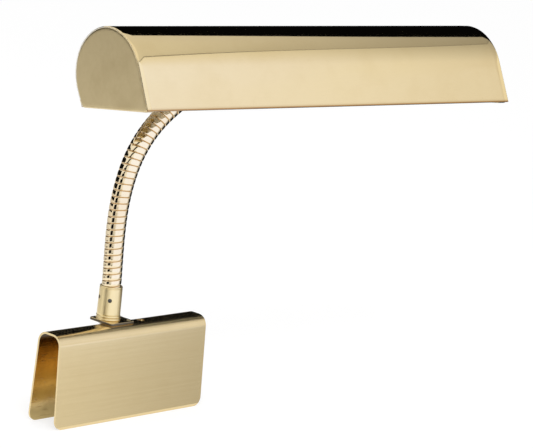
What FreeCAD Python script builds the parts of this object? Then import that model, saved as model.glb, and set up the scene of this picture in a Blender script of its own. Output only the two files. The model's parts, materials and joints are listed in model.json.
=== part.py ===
import FreeCAD, Part
import math
import os

# A clip-on piano lamp: a folded sheet clip for a music desk, a gooseneck, and a long trough shade.
# Millimetres and degrees. +X runs along the clip, +Y to its back, +Z up.
# The origin is on the underside of the clip's top, at the middle of its length.

# ---------------------------------------------------------------- clip
clip_length = 150.0            # along X
clip_height = 68.8             # from the top's outer face down to the bottom edges
clip_sheet = 1.5               # thickness of the folded sheet
desk_gap = 20.2                # between the two legs, just below the bends
clip_bend_radius = 6.7         # inside of each bend
clip_splay = 2.7               # each leg leans out by this angle
clip_corner_radius = 7.0       # lower corners of the legs
spare_hole_radius = 3.0        # hole in the top for a fixing screw
spare_hole_x = 17.0
spare_hole_y = 1.4

# ---------------------------------------------------------------- mounting plate and ferrule
neck_x = -9.9                  # the gooseneck's foot, along the clip
neck_y = 8.3                   # and behind its middle line
plate_x = -6.9                 # the plate's middle
plate_y = 6.9
plate_side = 24.0
plate_thickness = 2.0
plate_corner_radius = 2.0
rivet_radius = 1.5
rivet_head_radius = 1.9
rivet_head_depth = 0.7
rivet_spread = 9.6             # each rivet, from the plate's middle, along X
rivet_y = -1.2
ferrule_foot_radius = 8.75     # outside, above the foot rings
ferrule_top_radius = 8.4
ferrule_lip = 1.2              # rounded lip at the mouth
ferrule_height = 25.2
ferrule_floor = 8.0            # solid foot below the gooseneck's seat
foot_ring_radius = 9.15
foot_ring_height = 1.6
foot_groove = 0.5              # depth and width of the grooves between the rings
set_screw_radius = 1.5
set_screw_recess = 0.4
set_screws = ((156.0, 16.7), (225.0, 15.4))   # direction about the neck, height on the ferrule
nipple_radius = 5.0
nipple_bore = 3.8
nut_across = 13.0
nut_thickness = 1.5            # the nut ends flush with the clip's underside
nut_room = 0.7                 # free space round the nut in the clip's cut-out
cutout_depth = 6.0             # the cut-out in the back bend, below the clip's top
bushing_bore = 3.0
bushing_flange = 0.5           # its flange lies inside the nut, below the nipple
bushing_depth = 6.0

# ---------------------------------------------------------------- gooseneck
neck_yaw = -8.0                # the plane that the neck bends in, turned about Z
hose_radius = 7.2
hose_bore = 4.6
band_pitch = 4.75              # from one coil of the hose to the next
band_groove = 0.5              # depth of the groove between coils
link_length = 19.03
ball_gap = 0.35                # between a link's ball end and the next link's socket
first_joint_rise = 3.3         # from the ferrule's mouth to the first bend
link_lean = (-2.7, -1.5, 2.4, 9.6, 18.6, 31.1, 43.8, 54.5, 65.1, 76.8, 89.6)   # from upright, at rest

# ---------------------------------------------------------------- upper ferrule and tilt pivot
upper_ferrule_length = 20.0
upper_ferrule_radius = 8.6
hose_seat = 12.0               # how far the hose goes into the upper ferrule
upper_screw_angle = 270.0
pivot_radius = 5.0
pivot_bore = 3.6
pivot_clearance = 0.06
side_clearance = 0.05
washer_radius = 9.5
washer_thickness = 1.0
spring_washer_radius = 8.5
spring_washer_thickness = 0.8
pivot_nut_across = 14.0
pivot_nut_thickness = 5.0
pivot_end = 2.0                # thread beyond the nut

# ---------------------------------------------------------------- shade
shade_length = 355.6
shade_sheet = 1.0
shade_tilt = -9.1              # the rims' plane from level, at rest
crown_radius = 41.0            # outer face; the tilt pivot is on this arc's centre
crown_angle = 112.3
front_angle = 18.6              # the front leg from the rims' normal
front_leg = 32.8
back_radius = 32.3
back_angle = 73.1
back_leg = 12.3
cap_sheet = 1.0
cap_inset = 0.6                # the caps sit this far inside the shell's ends
pivot_from_left = 135.5        # middle of the pivot bracket, from the shade's left end

# ---------------------------------------------------------------- brackets inside the shade
bracket_sheet = 2.5
bracket_half_width = 11.0
saddle_sheet = 1.6
saddle_length = 18.0
socket_bracket_sheet = 1.5
socket_bracket_radius = 15.0
socket_bracket_half_width = 13.0

# ---------------------------------------------------------------- lamp holder and bulb
lamp_rise = 9.2                # the bulb's axis above the tilt axis
holder_radius = 17.5
holder_length = 34.5
holder_floor = 8.0
holder_bore = 14.1
screw_shell_radius = 13.9
screw_shell_sheet = 0.6
screw_shell_length = 24.0
contact_radius = 3.2
contact_height = 4.7
holder_screw_radius = 1.5
holder_screw_head = 2.8
holder_screw_head_height = 1.5
holder_screw_depth = 5.0
holder_screw_spread = 8.0
bulb_radius = 15.9
bulb_length = 140.0
bulb_wall = 0.7
bulb_shoulder = 12.0           # length over which the glass narrows to its base
bulb_cap_radius = 13.1
bulb_cap_sheet = 0.4
bulb_cap_length = 18.0
bulb_insulator_length = 4.0
bulb_insulator_tip = 5.0
bulb_tip_radius = 4.2
bulb_tip_height = 1.7
stem_radius = 3.0
stem_length = 30.0
support_radius = 0.4
support_spread = 4.0
support_length = 50.0
filament_radius = 0.35

# ---------------------------------------------------------------- rotary switch
switch_gap = 4.0               # between the socket bracket and the switch
switch_radius = 11.0
switch_length = 14.0
switch_neck_radius = 4.8
switch_neck_length = 4.0       # beyond the cap's outer face
switch_nut_across = 13.0
switch_nut_thickness = 2.0
spindle_radius = 3.0
spindle_clearance = 0.06
spindle_seat = 6.0             # spindle inside the switch
knob_radius = 9.0
knob_length = 12.0
knob_gap = 0.5                 # from the switch's neck to the knob's floor
knob_wall = 2.0
knob_flutes = 16
knob_flute_radius = 0.7

# ---------------------------------------------------------------- leads
lead_radius = 1.1
lead_start = 5.0               # inside the pivot tube
lead_spread = 1.4              # each lead from the middle, in the pivot tube
lead_side = 17.0               # each lead from the middle, beside the bulb
lead_rise = 28.0               # above the tilt axis, beside the bulb
lead_run_length = 8.0            # along X, from the pivot's mouth to the first turn
lead_climb = 16.0              # along X, from there up to the side
lead_arc_share = 0.45          # of the shorter run beside each of a lead's turns
fit_gap = 0.05                 # between pieces that are fixed together
over_cut = 1.0                 # how far a cutting tool runs past the face that it opens

V = FreeCAD.Vector
X_AXIS = V(1, 0, 0)
Y_AXIS = V(0, 1, 0)
Z_AXIS = V(0, 0, 1)
ORIGIN = V(0, 0, 0)


# ---------------------------------------------------------------- shared helpers
def sin(angle):
    return math.sin(math.radians(angle))


def cos(angle):
    return math.cos(math.radians(angle))


def placed(shape, placement):
    result = shape.copy()
    result.Placement = placement.multiply(result.Placement)
    return result


def turned_x(angle):
    return FreeCAD.Placement(ORIGIN, FreeCAD.Rotation(X_AXIS, angle))


def rod(radius, start, end):
    """A solid cylinder between two points."""
    way = end - start
    return Part.makeCylinder(radius, way.Length, start, way)


def tube(outer, inner, start, end):
    """A hollow cylinder between two points."""
    return rod(outer, start, end).cut(rod(inner, start, end))


def lathe_z(outline):
    """A closed outline of (radius, height) points, turned about Z."""
    points = [V(radius, 0, height) for radius, height in outline]
    wire = Part.makePolygon(points + [points[0]])
    return Part.Face(wire).revolve(ORIGIN, Z_AXIS, 360)


def lathe_x(outline):
    """A closed outline of (distance along X, radius) points, turned about X."""
    points = [V(along, 0, radius) for along, radius in outline]
    wire = Part.makePolygon(points + [points[0]])
    return Part.Face(wire).revolve(ORIGIN, X_AXIS, 360)


def hex_nut(across, bore, start, end):
    """A hexagonal nut between two points on its axis."""
    way = end - start
    corner = across / math.sqrt(3)
    corners = [V(corner * cos(60 * i), corner * sin(60 * i), 0) for i in range(7)]
    prism = Part.Face(Part.makePolygon(corners)).extrude(V(0, 0, way.Length))
    turn = FreeCAD.Rotation(Z_AXIS, way)
    prism = placed(prism, FreeCAD.Placement(start, turn))
    return prism.cut(rod(bore, start, end))


def rounded(shape, radius, picked):
    """Fillet the edges that the test picks."""
    return shape.makeFillet(radius, [edge for edge in shape.Edges if picked(edge)])


# ---------------------------------------------------------------- clip
clip_top = clip_sheet
clip_bottom = clip_top - clip_height
bend_centre_y = desk_gap / 2 - clip_bend_radius * cos(clip_splay)
bend_centre_z = -clip_bend_radius


def clip_side(offset):
    """Points of one leg's face, at this distance from the clip's inner face."""
    radius = clip_bend_radius + offset
    outer_radius = clip_bend_radius + clip_sheet
    leg = (bend_centre_z + outer_radius * sin(clip_splay) - clip_bottom) / cos(clip_splay)
    halfway = (90 + clip_splay) / 2
    crown = (bend_centre_y, bend_centre_z + radius)
    bend = (bend_centre_y + radius * cos(halfway), bend_centre_z + radius * sin(halfway))
    knee = (bend_centre_y + radius * cos(clip_splay), bend_centre_z + radius * sin(clip_splay))
    toe = (knee[0] + leg * sin(clip_splay), knee[1] - leg * cos(clip_splay))
    return crown, bend, knee, toe


def clip_face(offset, x):
    """Edges of one face of the folded sheet, from the front toe to the back toe."""
    crown, bend, knee, toe = clip_side(offset)
    front = [V(x, -y, z) for y, z in (toe, knee, bend, crown)]
    back = [V(x, y, z) for y, z in (crown, bend, knee, toe)]
    edges = [
        Part.LineSegment(front[0], front[1]).toShape(),
        Part.Arc(front[1], front[2], front[3]).toShape(),
        Part.LineSegment(front[3], back[0]).toShape(),
        Part.Arc(back[0], back[1], back[2]).toShape(),
        Part.LineSegment(back[2], back[3]).toShape(),
    ]
    return edges, front[0], back[3]


def make_clip():
    start = -clip_length / 2
    outer, outer_front, outer_back = clip_face(clip_sheet, start)
    inner, inner_front, inner_back = clip_face(0, start)
    ends = [
        Part.LineSegment(outer_front, inner_front).toShape(),
        Part.LineSegment(outer_back, inner_back).toShape(),
    ]
    wire = Part.Wire(Part.__sortEdges__(outer + inner + ends))
    body = Part.Face(wire).extrude(V(clip_length, 0, 0))

    def toe_corner(edge):
        low = edge.BoundBox.ZMax < clip_bottom + clip_sheet
        across = edge.BoundBox.XLength < clip_sheet / 10
        return low and across

    body = rounded(body, clip_corner_radius, toe_corner)
    cutout_low = V(neck_x, neck_y, clip_top - cutout_depth)
    body = body.cut(rod(cutout_radius, cutout_low, V(neck_x, neck_y, clip_top + over_cut)))
    hole_low = V(spare_hole_x, spare_hole_y, -over_cut)
    hole_high = V(spare_hole_x, spare_hole_y, clip_top + over_cut)
    body = body.cut(rod(spare_hole_radius, hole_low, hole_high))
    for place in rivet_places:
        body = body.cut(rivet(place, fit_gap))
    return body


# ---------------------------------------------------------------- mounting plate, rivets, nipple
plate_top = clip_top + plate_thickness
cutout_radius = nut_across / math.sqrt(3) + nut_room
rivet_places = (plate_x - rivet_spread, plate_x + rivet_spread)
nipple_low = clip_top - nut_thickness + bushing_flange


def rivet(x, gap):
    """A flush rivet through the plate and the clip's top; gap makes it the hole instead."""
    shank = rivet_radius + gap
    head = rivet_head_radius + gap
    shape = lathe_z([
        (0, 0), (head, 0), (shank, rivet_head_depth), (shank, plate_top - rivet_head_depth),
        (head, plate_top), (0, plate_top),
    ])
    return placed(shape, FreeCAD.Placement(V(x, rivet_y, 0), FreeCAD.Rotation()))


def make_plate():
    corner = V(plate_x - plate_side / 2, plate_y - plate_side / 2, clip_top)
    plate = Part.makeBox(plate_side, plate_side, plate_thickness, corner)
    plate = rounded(plate, plate_corner_radius, lambda edge: edge.BoundBox.ZLength > plate_thickness / 2)
    bore_high = V(neck_x, neck_y, plate_top + over_cut)
    plate = plate.cut(rod(nipple_radius + fit_gap, V(neck_x, neck_y, 0), bore_high))
    for place in rivet_places:
        plate = plate.cut(rivet(place, fit_gap))
    return plate


def make_nipple():
    low = V(neck_x, neck_y, nipple_low)
    high = V(neck_x, neck_y, hose_floor - fit_gap)
    return tube(nipple_radius, nipple_bore, low, high)


def make_nipple_nut():
    low = V(neck_x, neck_y, clip_top - nut_thickness)
    return hex_nut(nut_across, nipple_radius + fit_gap, low, V(neck_x, neck_y, clip_top))


def make_cord_bushing():
    outline = [
        (bushing_bore, -bushing_flange), (nipple_radius, -bushing_flange), (nipple_radius, 0),
        (nipple_bore - fit_gap, 0), (nipple_bore - fit_gap, bushing_depth), (bushing_bore, bushing_depth),
    ]
    return placed(lathe_z(outline), FreeCAD.Placement(V(neck_x, neck_y, nipple_low), FreeCAD.Rotation()))


# ---------------------------------------------------------------- lower ferrule
hose_floor = plate_top + ferrule_floor
ferrule_top = plate_top + ferrule_height
neck_foot = FreeCAD.Placement(V(neck_x, neck_y, 0), FreeCAD.Rotation(Z_AXIS, neck_yaw))


def ferrule_radius(height):
    """Outside of the lower ferrule's tapered wall at a height above the plate."""
    share = height / ferrule_height
    return ferrule_foot_radius + (ferrule_top_radius - ferrule_foot_radius) * share


def set_screw_hole(angle, height, radius, inner, outer):
    out = V(cos(angle), sin(angle), 0)
    centre = V(neck_x, neck_y, plate_top + height)
    return rod(radius, centre + out * inner, centre + out * outer)


def make_base_ferrule():
    bore = hose_radius + fit_gap
    ring_2 = foot_ring_height + foot_groove
    wall_low = ring_2 + foot_ring_height + foot_groove
    bevel = foot_groove / 2
    groove_radius = foot_ring_radius - foot_groove
    mouth_radius = ferrule_top_radius - ferrule_lip / 2
    outline = [
        (nipple_radius + fit_gap, 0), (foot_ring_radius - bevel, 0), (foot_ring_radius, bevel),
        (foot_ring_radius, foot_ring_height - bevel), (groove_radius, foot_ring_height),
        (groove_radius, ring_2), (foot_ring_radius - bevel, ring_2 + bevel),
        (foot_ring_radius - bevel, wall_low - foot_groove), (groove_radius - bevel, wall_low - bevel),
        (ferrule_radius(wall_low), wall_low), (ferrule_top_radius, ferrule_height - ferrule_lip),
        (mouth_radius, ferrule_height), (bore, ferrule_height), (bore, ferrule_floor),
        (nipple_radius + fit_gap, ferrule_floor),
    ]
    body = placed(lathe_z(outline), FreeCAD.Placement(V(neck_x, neck_y, plate_top), FreeCAD.Rotation()))
    for angle, height in set_screws:
        hole = set_screw_radius + fit_gap
        body = body.cut(set_screw_hole(angle, height, hole, hose_bore, foot_ring_radius + over_cut))
    return body


def make_set_screws():
    screws = []
    for angle, height in set_screws:
        outer = ferrule_radius(height) - set_screw_recess
        screws.append(set_screw_hole(angle, height, set_screw_radius, hose_radius + fit_gap, outer))
    return Part.makeCompound(screws)


# ---------------------------------------------------------------- gooseneck
def hose_wall(length, ball_end):
    """A run of coiled hose along +Z, with a ball round its far end where the next link turns."""
    count = max(1, round(length / band_pitch))
    pitch = length / count
    edges = []
    low = V(hose_radius - band_groove, 0, 0)
    foot = low
    for i in range(count):
        middle = V(hose_radius, 0, (i + 0.5) * pitch)
        high = V(hose_radius - band_groove, 0, (i + 1) * pitch)
        edges.append(Part.Arc(low, middle, high).toShape())
        low = high
    if ball_end:
        equator = V(hose_radius, 0, length)
        halfway = math.degrees(math.acos(hose_bore / hose_radius)) / 2
        shoulder = V(hose_radius * cos(halfway), 0, length + hose_radius * sin(halfway))
        crown = V(hose_bore, 0, length + hose_radius * sin(2 * halfway))
        edges.append(Part.LineSegment(low, equator).toShape())
        edges.append(Part.Arc(equator, shoulder, crown).toShape())
        low = crown
    else:
        rim = V(hose_bore, 0, length)
        edges.append(Part.LineSegment(low, rim).toShape())
        low = rim
    bottom = V(hose_bore, 0, 0)
    edges.append(Part.LineSegment(low, bottom).toShape())
    edges.append(Part.LineSegment(bottom, foot).toShape())
    return Part.Face(Part.Wire(edges)).revolve(ORIGIN, Z_AXIS, 360)


first_joint_height = ferrule_top + first_joint_rise
link_starts = [V(0, 0, first_joint_height)]
for lean in link_lean:
    link_starts.append(link_starts[-1] + V(sin(lean), 0, cos(lean)) * link_length)


def make_neck_root():
    """The run of hose held in the lower ferrule."""
    low = hose_floor + fit_gap
    wall = hose_wall(first_joint_height - low, True)
    return placed(wall, neck_foot.multiply(FreeCAD.Placement(V(0, 0, low), FreeCAD.Rotation())))


def make_neck_link(index):
    """One stretch of the gooseneck; its foot is hollowed round the ball below it."""
    last = index == len(link_lean) - 1
    link = hose_wall(link_length, not last)
    link = link.cut(Part.makeSphere(hose_radius + ball_gap))
    lean = FreeCAD.Rotation(Y_AXIS, link_lean[index])
    return placed(link, neck_foot.multiply(FreeCAD.Placement(link_starts[index], lean)))


# ---------------------------------------------------------------- upper ferrule and tilt pivot
pivot_height = link_starts[-1].z
hose_end = link_starts[-1].x
upper_low = hose_end - hose_seat
upper_high = upper_low + upper_ferrule_length
bracket_low = upper_high + washer_thickness + side_clearance
bracket_high = bracket_low + bracket_sheet
spring_low = bracket_high + side_clearance
pivot_nut_low = spring_low + spring_washer_thickness
pivot_nut_high = pivot_nut_low + pivot_nut_thickness
pivot_mouth = pivot_nut_high + pivot_end
tilt_lift = FreeCAD.Rotation(Y_AXIS, link_lean[-1] - 90)
tilt_frame = neck_foot.multiply(FreeCAD.Placement(V(0, 0, pivot_height), tilt_lift, V(hose_end, 0, 0)))


def on_tilt_axis(shape):
    """Place a shape that was made along the tilt axis, with x measured from the neck's foot."""
    return placed(shape, tilt_frame)


def upper_screw(radius, inner, outer):
    out = V(0, cos(upper_screw_angle), sin(upper_screw_angle))
    centre = V(upper_low + hose_seat / 2, 0, 0)
    return rod(radius, centre + out * inner, centre + out * outer)


def make_upper_ferrule():
    bevel = ferrule_lip / 2
    bore = hose_radius + fit_gap
    seat = hose_end + fit_gap
    outline = [
        (upper_low, bore), (upper_low, upper_ferrule_radius - bevel),
        (upper_low + bevel, upper_ferrule_radius), (upper_high - bevel, upper_ferrule_radius),
        (upper_high, upper_ferrule_radius - bevel),
        (upper_high, pivot_radius + fit_gap), (seat, pivot_radius + fit_gap), (seat, bore),
    ]
    body = lathe_x(outline)
    hole = upper_screw(set_screw_radius + fit_gap, hose_bore, upper_ferrule_radius + over_cut)
    body = body.cut(hole)
    return on_tilt_axis(body)


def make_upper_set_screw():
    outer = upper_ferrule_radius - set_screw_recess
    return on_tilt_axis(upper_screw(set_screw_radius, hose_radius + fit_gap, outer))


def make_pivot_tube():
    low = V(hose_end + 2 * fit_gap, 0, 0)
    return on_tilt_axis(tube(pivot_radius, pivot_bore, low, V(pivot_mouth, 0, 0)))


def make_friction_washer():
    low = V(upper_high, 0, 0)
    high = V(upper_high + washer_thickness, 0, 0)
    return on_tilt_axis(tube(washer_radius, pivot_radius + fit_gap, low, high))


def make_spring_washer():
    bore = pivot_radius + fit_gap
    return on_tilt_axis(tube(spring_washer_radius, bore, V(spring_low, 0, 0), V(pivot_nut_low, 0, 0)))


def make_pivot_nut():
    low = V(pivot_nut_low, 0, 0)
    return on_tilt_axis(hex_nut(pivot_nut_across, pivot_radius + fit_gap, low, V(pivot_nut_high, 0, 0)))


# ---------------------------------------------------------------- shade shell and end caps
# In the shade's own frame x runs from its left end, and y and z from the tilt axis, square to the rims.
shade_left = (bracket_low + bracket_high) / 2 - pivot_from_left
shade_frame = tilt_frame.multiply(
    FreeCAD.Placement(V(shade_left, 0, 0), FreeCAD.Rotation(X_AXIS, shade_tilt)))
crown_start = 90 + (90 - front_angle)       # direction of the crown's front end from the pivot
crown_stop = crown_start - crown_angle
back_stop = crown_stop - back_angle


def shell_path(inset, x):
    """Edges of the trough's section from front rim to back rim, inset from its outer face."""
    def at(centre, radius, angle):
        return V(x, centre.y + radius * cos(angle), centre.z + radius * sin(angle))

    crown = crown_radius - inset
    back = back_radius - inset
    back_centre = at(V(x, 0, 0), crown_radius - back_radius, crown_stop)
    knee_front = at(V(x, 0, 0), crown, crown_start)
    knee_top = at(V(x, 0, 0), crown, crown_stop)
    knee_back = at(back_centre, back, back_stop)
    front_rim = knee_front - V(0, cos(crown_start - 90), sin(crown_start - 90)) * front_leg
    back_rim = knee_back + V(0, sin(back_stop), -cos(back_stop)) * back_leg
    edges = [
        Part.LineSegment(front_rim, knee_front).toShape(),
        Part.Arc(knee_front, at(V(x, 0, 0), crown, crown_start - crown_angle / 2), knee_top).toShape(),
        Part.Arc(knee_top, at(back_centre, back, crown_stop - back_angle / 2), knee_back).toShape(),
        Part.LineSegment(knee_back, back_rim).toShape(),
    ]
    return edges, front_rim, back_rim


def make_shade_shell():
    outer, outer_front, outer_back = shell_path(0, 0)
    inner, inner_front, inner_back = shell_path(shade_sheet, 0)
    ends = [
        Part.LineSegment(outer_front, inner_front).toShape(),
        Part.LineSegment(outer_back, inner_back).toShape(),
    ]
    wire = Part.Wire(Part.__sortEdges__(outer + inner + ends))
    return placed(Part.Face(wire).extrude(V(shade_length, 0, 0)), shade_frame)


def make_end_cap(x, holes):
    edges, front, back = shell_path(shade_sheet + fit_gap, x)
    wire = Part.Wire(Part.__sortEdges__(edges + [Part.LineSegment(back, front).toShape()]))
    cap = Part.Face(wire).extrude(V(cap_sheet, 0, 0))
    for hole in holes:
        cap = cap.cut(hole)
    return placed(cap, shade_frame)


# ---------------------------------------------------------------- brackets inside the shade
# The bracket frame is the shade's frame turned so that z points to the middle of the crown.
bracket_turn = crown_start - crown_angle / 2 - 90
bracket_frame = shade_frame.multiply(turned_x(bracket_turn))
crown_inside = crown_radius - shade_sheet - fit_gap
cap_inner_x = shade_length - cap_inset - cap_sheet
cap_outer_x = shade_length - cap_inset
pivot_bracket_x = pivot_from_left - bracket_sheet / 2
mouth_x = pivot_mouth - shade_left


def in_shade(shape):
    return placed(shape, bracket_frame)


def on_lamp_axis(shape):
    """Place a shape that was made along X on the bulb's axis."""
    return in_shade(placed(shape, FreeCAD.Placement(V(0, 0, lamp_rise), FreeCAD.Rotation())))


def saddle_bracket(x, sheet, half_width, eye_height, eye_radius, saddle_side):
    """A plate across the trough that hangs from a curved saddle under the crown."""
    eye = rod(eye_radius, V(x, 0, eye_height), V(x + sheet, 0, eye_height))
    web = Part.makeBox(sheet, 2 * half_width, crown_radius, V(x, -half_width, eye_height))
    plate = eye.fuse(web).common(rod(crown_inside, V(x, 0, 0), V(x + sheet, 0, 0)))
    start = x if saddle_side > 0 else x + sheet - saddle_length
    saddle = tube(crown_inside, crown_inside - saddle_sheet, V(start, 0, 0), V(start + saddle_length, 0, 0))
    keep = Part.makeBox(saddle_length, 2 * half_width, crown_radius, V(start, -half_width, 0))
    return plate.fuse(saddle.common(keep)).removeSplitter()


def make_pivot_bracket():
    shape = saddle_bracket(pivot_bracket_x, bracket_sheet, bracket_half_width, 0, bracket_half_width, -1)
    bore = pivot_radius + pivot_clearance
    end = pivot_bracket_x + bracket_sheet
    return in_shade(shape.cut(rod(bore, V(pivot_bracket_x, 0, 0), V(end, 0, 0))))


# ---------------------------------------------------------------- rotary switch
switch_low = cap_inner_x - switch_length
switch_neck_end = cap_outer_x + switch_neck_length
knob_low = switch_neck_end + knob_gap
knob_high = knob_low + knob_length - knob_wall
knob_skirt = cap_outer_x + switch_nut_thickness + knob_gap


def make_switch_body():
    body = rod(switch_radius, V(switch_low, 0, 0), V(cap_inner_x, 0, 0))
    body = body.fuse(rod(switch_neck_radius, V(cap_inner_x, 0, 0), V(switch_neck_end, 0, 0)))
    bore = spindle_radius + spindle_clearance
    hole = rod(bore, V(cap_inner_x - spindle_seat - spindle_clearance, 0, 0), V(switch_neck_end, 0, 0))
    return on_lamp_axis(body.cut(hole))


def make_switch_nut():
    low = V(cap_outer_x, 0, 0)
    high = V(cap_outer_x + switch_nut_thickness, 0, 0)
    return on_lamp_axis(hex_nut(switch_nut_across, switch_neck_radius + fit_gap, low, high))


def make_switch_spindle():
    low = V(cap_inner_x - spindle_seat, 0, 0)
    return on_lamp_axis(rod(spindle_radius, low, V(knob_high - fit_gap, 0, 0)))


def make_switch_knob():
    """A fluted knob whose skirt stands round the switch's nut."""
    room = switch_nut_across / math.sqrt(3) + fit_gap
    knob = rod(knob_radius, V(knob_skirt, 0, 0), V(knob_high + knob_wall, 0, 0))
    knob = rounded(knob, knob_wall / 2, lambda edge: edge.BoundBox.XMin > knob_high)
    knob = knob.cut(rod(room, V(knob_skirt, 0, 0), V(knob_low, 0, 0)))
    knob = knob.cut(rod(spindle_radius + fit_gap, V(knob_low, 0, 0), V(knob_high, 0, 0)))
    for i in range(knob_flutes):
        angle = 360 * i / knob_flutes
        low = V(knob_skirt - over_cut, knob_radius * cos(angle), knob_radius * sin(angle))
        high = V(knob_high, low.y, low.z)
        knob = knob.cut(rod(knob_flute_radius, low, high))
    return on_lamp_axis(knob)


# ---------------------------------------------------------------- lamp holder
socket_plate_high = switch_low - switch_gap
socket_plate_low = socket_plate_high - socket_bracket_sheet
holder_mouth = socket_plate_low - holder_length
holder_floor_x = socket_plate_low - holder_floor


def holder_screw(radius, start, end):
    shape = None
    for side in (-1, 1):
        one = rod(radius, V(start, side * holder_screw_spread, 0), V(end, side * holder_screw_spread, 0))
        shape = one if shape is None else shape.fuse(one)
    return shape


def make_socket_bracket():
    shape = saddle_bracket(socket_plate_low, socket_bracket_sheet, socket_bracket_half_width,
                           lamp_rise, socket_bracket_radius, -1)
    holes = holder_screw(holder_screw_radius + fit_gap, socket_plate_low, socket_plate_high)
    holes = placed(holes, FreeCAD.Placement(V(0, 0, lamp_rise), FreeCAD.Rotation()))
    return in_shade(shape.cut(holes))


def make_lamp_holder():
    body = rod(holder_radius, V(holder_mouth, 0, 0), V(socket_plate_low, 0, 0))
    body = body.cut(rod(holder_bore, V(holder_mouth, 0, 0), V(holder_floor_x, 0, 0)))
    depth = holder_screw_depth + fit_gap
    body = body.cut(holder_screw(holder_screw_radius + fit_gap, socket_plate_low - depth, socket_plate_low))
    return on_lamp_axis(body)


def make_holder_screws():
    shank = holder_screw(holder_screw_radius, socket_plate_low - holder_screw_depth, socket_plate_high)
    head_end = socket_plate_high + holder_screw_head_height
    return on_lamp_axis(shank.fuse(holder_screw(holder_screw_head, socket_plate_high, head_end)))


def make_screw_shell():
    inner = screw_shell_radius - screw_shell_sheet
    return on_lamp_axis(tube(screw_shell_radius, inner, V(holder_floor_x - screw_shell_length, 0, 0),
                             V(holder_floor_x, 0, 0)))


def make_centre_contact():
    return on_lamp_axis(rod(contact_radius, V(contact_tip, 0, 0), V(holder_floor_x, 0, 0)))


# ---------------------------------------------------------------- bulb
contact_tip = holder_floor_x - contact_height
bulb_tip_low = contact_tip - fit_gap - bulb_tip_height
bulb_cap_high = bulb_tip_low - bulb_insulator_length
bulb_cap_low = bulb_cap_high - bulb_cap_length
bulb_end = contact_tip - fit_gap - bulb_length


def glass_wall(radius, neck, x_end):
    """Edges of the bulb's wall from its rounded end to its neck."""
    round_x = bulb_end + bulb_radius
    shoulder = bulb_cap_low - bulb_shoulder
    tip = V(round_x - radius, 0, 0)
    side = V(round_x, 0, radius)
    middle = V(round_x - radius * cos(45), 0, radius * sin(45))
    return [
        Part.Arc(tip, middle, side).toShape(),
        Part.LineSegment(side, V(shoulder, 0, radius)).toShape(),
        Part.LineSegment(V(shoulder, 0, radius), V(bulb_cap_low, 0, neck)).toShape(),
        Part.LineSegment(V(bulb_cap_low, 0, neck), V(x_end, 0, neck)).toShape(),
    ], tip, V(x_end, 0, neck)


def make_bulb_glass():
    neck = bulb_cap_radius - bulb_cap_sheet - fit_gap
    x_end = bulb_cap_low + bulb_cap_length / 3
    outer, outer_tip, outer_end = glass_wall(bulb_radius, neck, x_end)
    inner, inner_tip, inner_end = glass_wall(bulb_radius - bulb_wall, neck - bulb_wall, x_end)
    ends = [
        Part.LineSegment(outer_tip, inner_tip).toShape(),
        Part.LineSegment(outer_end, inner_end).toShape(),
    ]
    wire = Part.Wire(Part.__sortEdges__(outer + inner + ends))
    return on_lamp_axis(Part.Face(wire).revolve(ORIGIN, X_AXIS, 360))


def make_bulb_cap():
    floor = bulb_cap_high - bulb_cap_sheet
    body = rod(bulb_cap_radius, V(bulb_cap_low, 0, 0), V(bulb_cap_high, 0, 0))
    hollow = rod(bulb_cap_radius - bulb_cap_sheet, V(bulb_cap_low, 0, 0), V(floor, 0, 0))
    return on_lamp_axis(body.cut(hollow))


def make_bulb_insulator():
    outline = [(bulb_cap_high, 0), (bulb_cap_high, bulb_cap_radius - bulb_cap_sheet),
               (bulb_tip_low, bulb_insulator_tip), (bulb_tip_low, 0)]
    return on_lamp_axis(lathe_x(outline))


def make_bulb_tip():
    high = V(bulb_tip_low + bulb_tip_height, 0, 0)
    return on_lamp_axis(rod(bulb_tip_radius, V(bulb_tip_low, 0, 0), high))


def make_bulb_filament():
    """The glass stem, its two supports and the wire between them."""
    stem_high = bulb_cap_high - bulb_cap_sheet
    stem_low = stem_high - stem_length
    support_low = stem_low - support_length
    shape = rod(stem_radius + support_radius, V(stem_low, 0, 0), V(stem_high, 0, 0))
    for side in (-1, 1):
        foot = V(stem_low + support_radius, side * stem_radius, 0)
        top = V(support_low, side * support_spread, 0)
        shape = shape.fuse(rod(support_radius, foot, top))
    ends = (V(support_low, -support_spread, 0), V(support_low, support_spread, 0))
    return on_lamp_axis(shape.fuse(rod(filament_radius, ends[0], ends[1])))


# ---------------------------------------------------------------- leads
def rounded_route(points, arc_share):
    """Straight runs joined by tangent arcs, each as large as its two runs allow."""
    edges = []
    last = points[0]
    for before, corner, after in zip(points, points[1:], points[2:]):
        back = before - corner
        ahead = after - corner
        reach = arc_share * min(back.Length, ahead.Length)
        start = corner + back.normalize() * reach
        end = corner + ahead.normalize() * reach
        half = math.acos(max(-1.0, min(1.0, back.dot(ahead)))) / 2
        bisector = back + ahead
        radius = reach * math.tan(half)
        middle = corner + bisector.normalize() * (radius / math.sin(half) - radius)
        edges.append(Part.LineSegment(last, start).toShape())
        edges.append(Part.Arc(start, middle, end).toShape())
        last = end
    edges.append(Part.LineSegment(last, points[-1]).toShape())
    return Part.Wire(edges)


def lead(side, turn_x, end_radius):
    """One lead from the pivot tube, past the bulb, to a round body on the bulb's axis."""
    inwards = V(0, side * lead_side, lead_rise - lamp_rise).normalize()
    points = [
        V(mouth_x - lead_start, side * lead_spread, 0),
        V(mouth_x + lead_run_length, side * lead_spread, 0),
        V(mouth_x + lead_run_length + lead_climb, side * lead_side, lead_rise),
        V(turn_x, side * lead_side, lead_rise),
        V(turn_x, 0, lamp_rise) + inwards * (end_radius + fit_gap),
    ]
    route = rounded_route(points, lead_arc_share)
    profile = Part.Wire(Part.makeCircle(lead_radius, points[0], points[1] - points[0]))
    return route.makePipeShell([profile], True, False)


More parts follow.
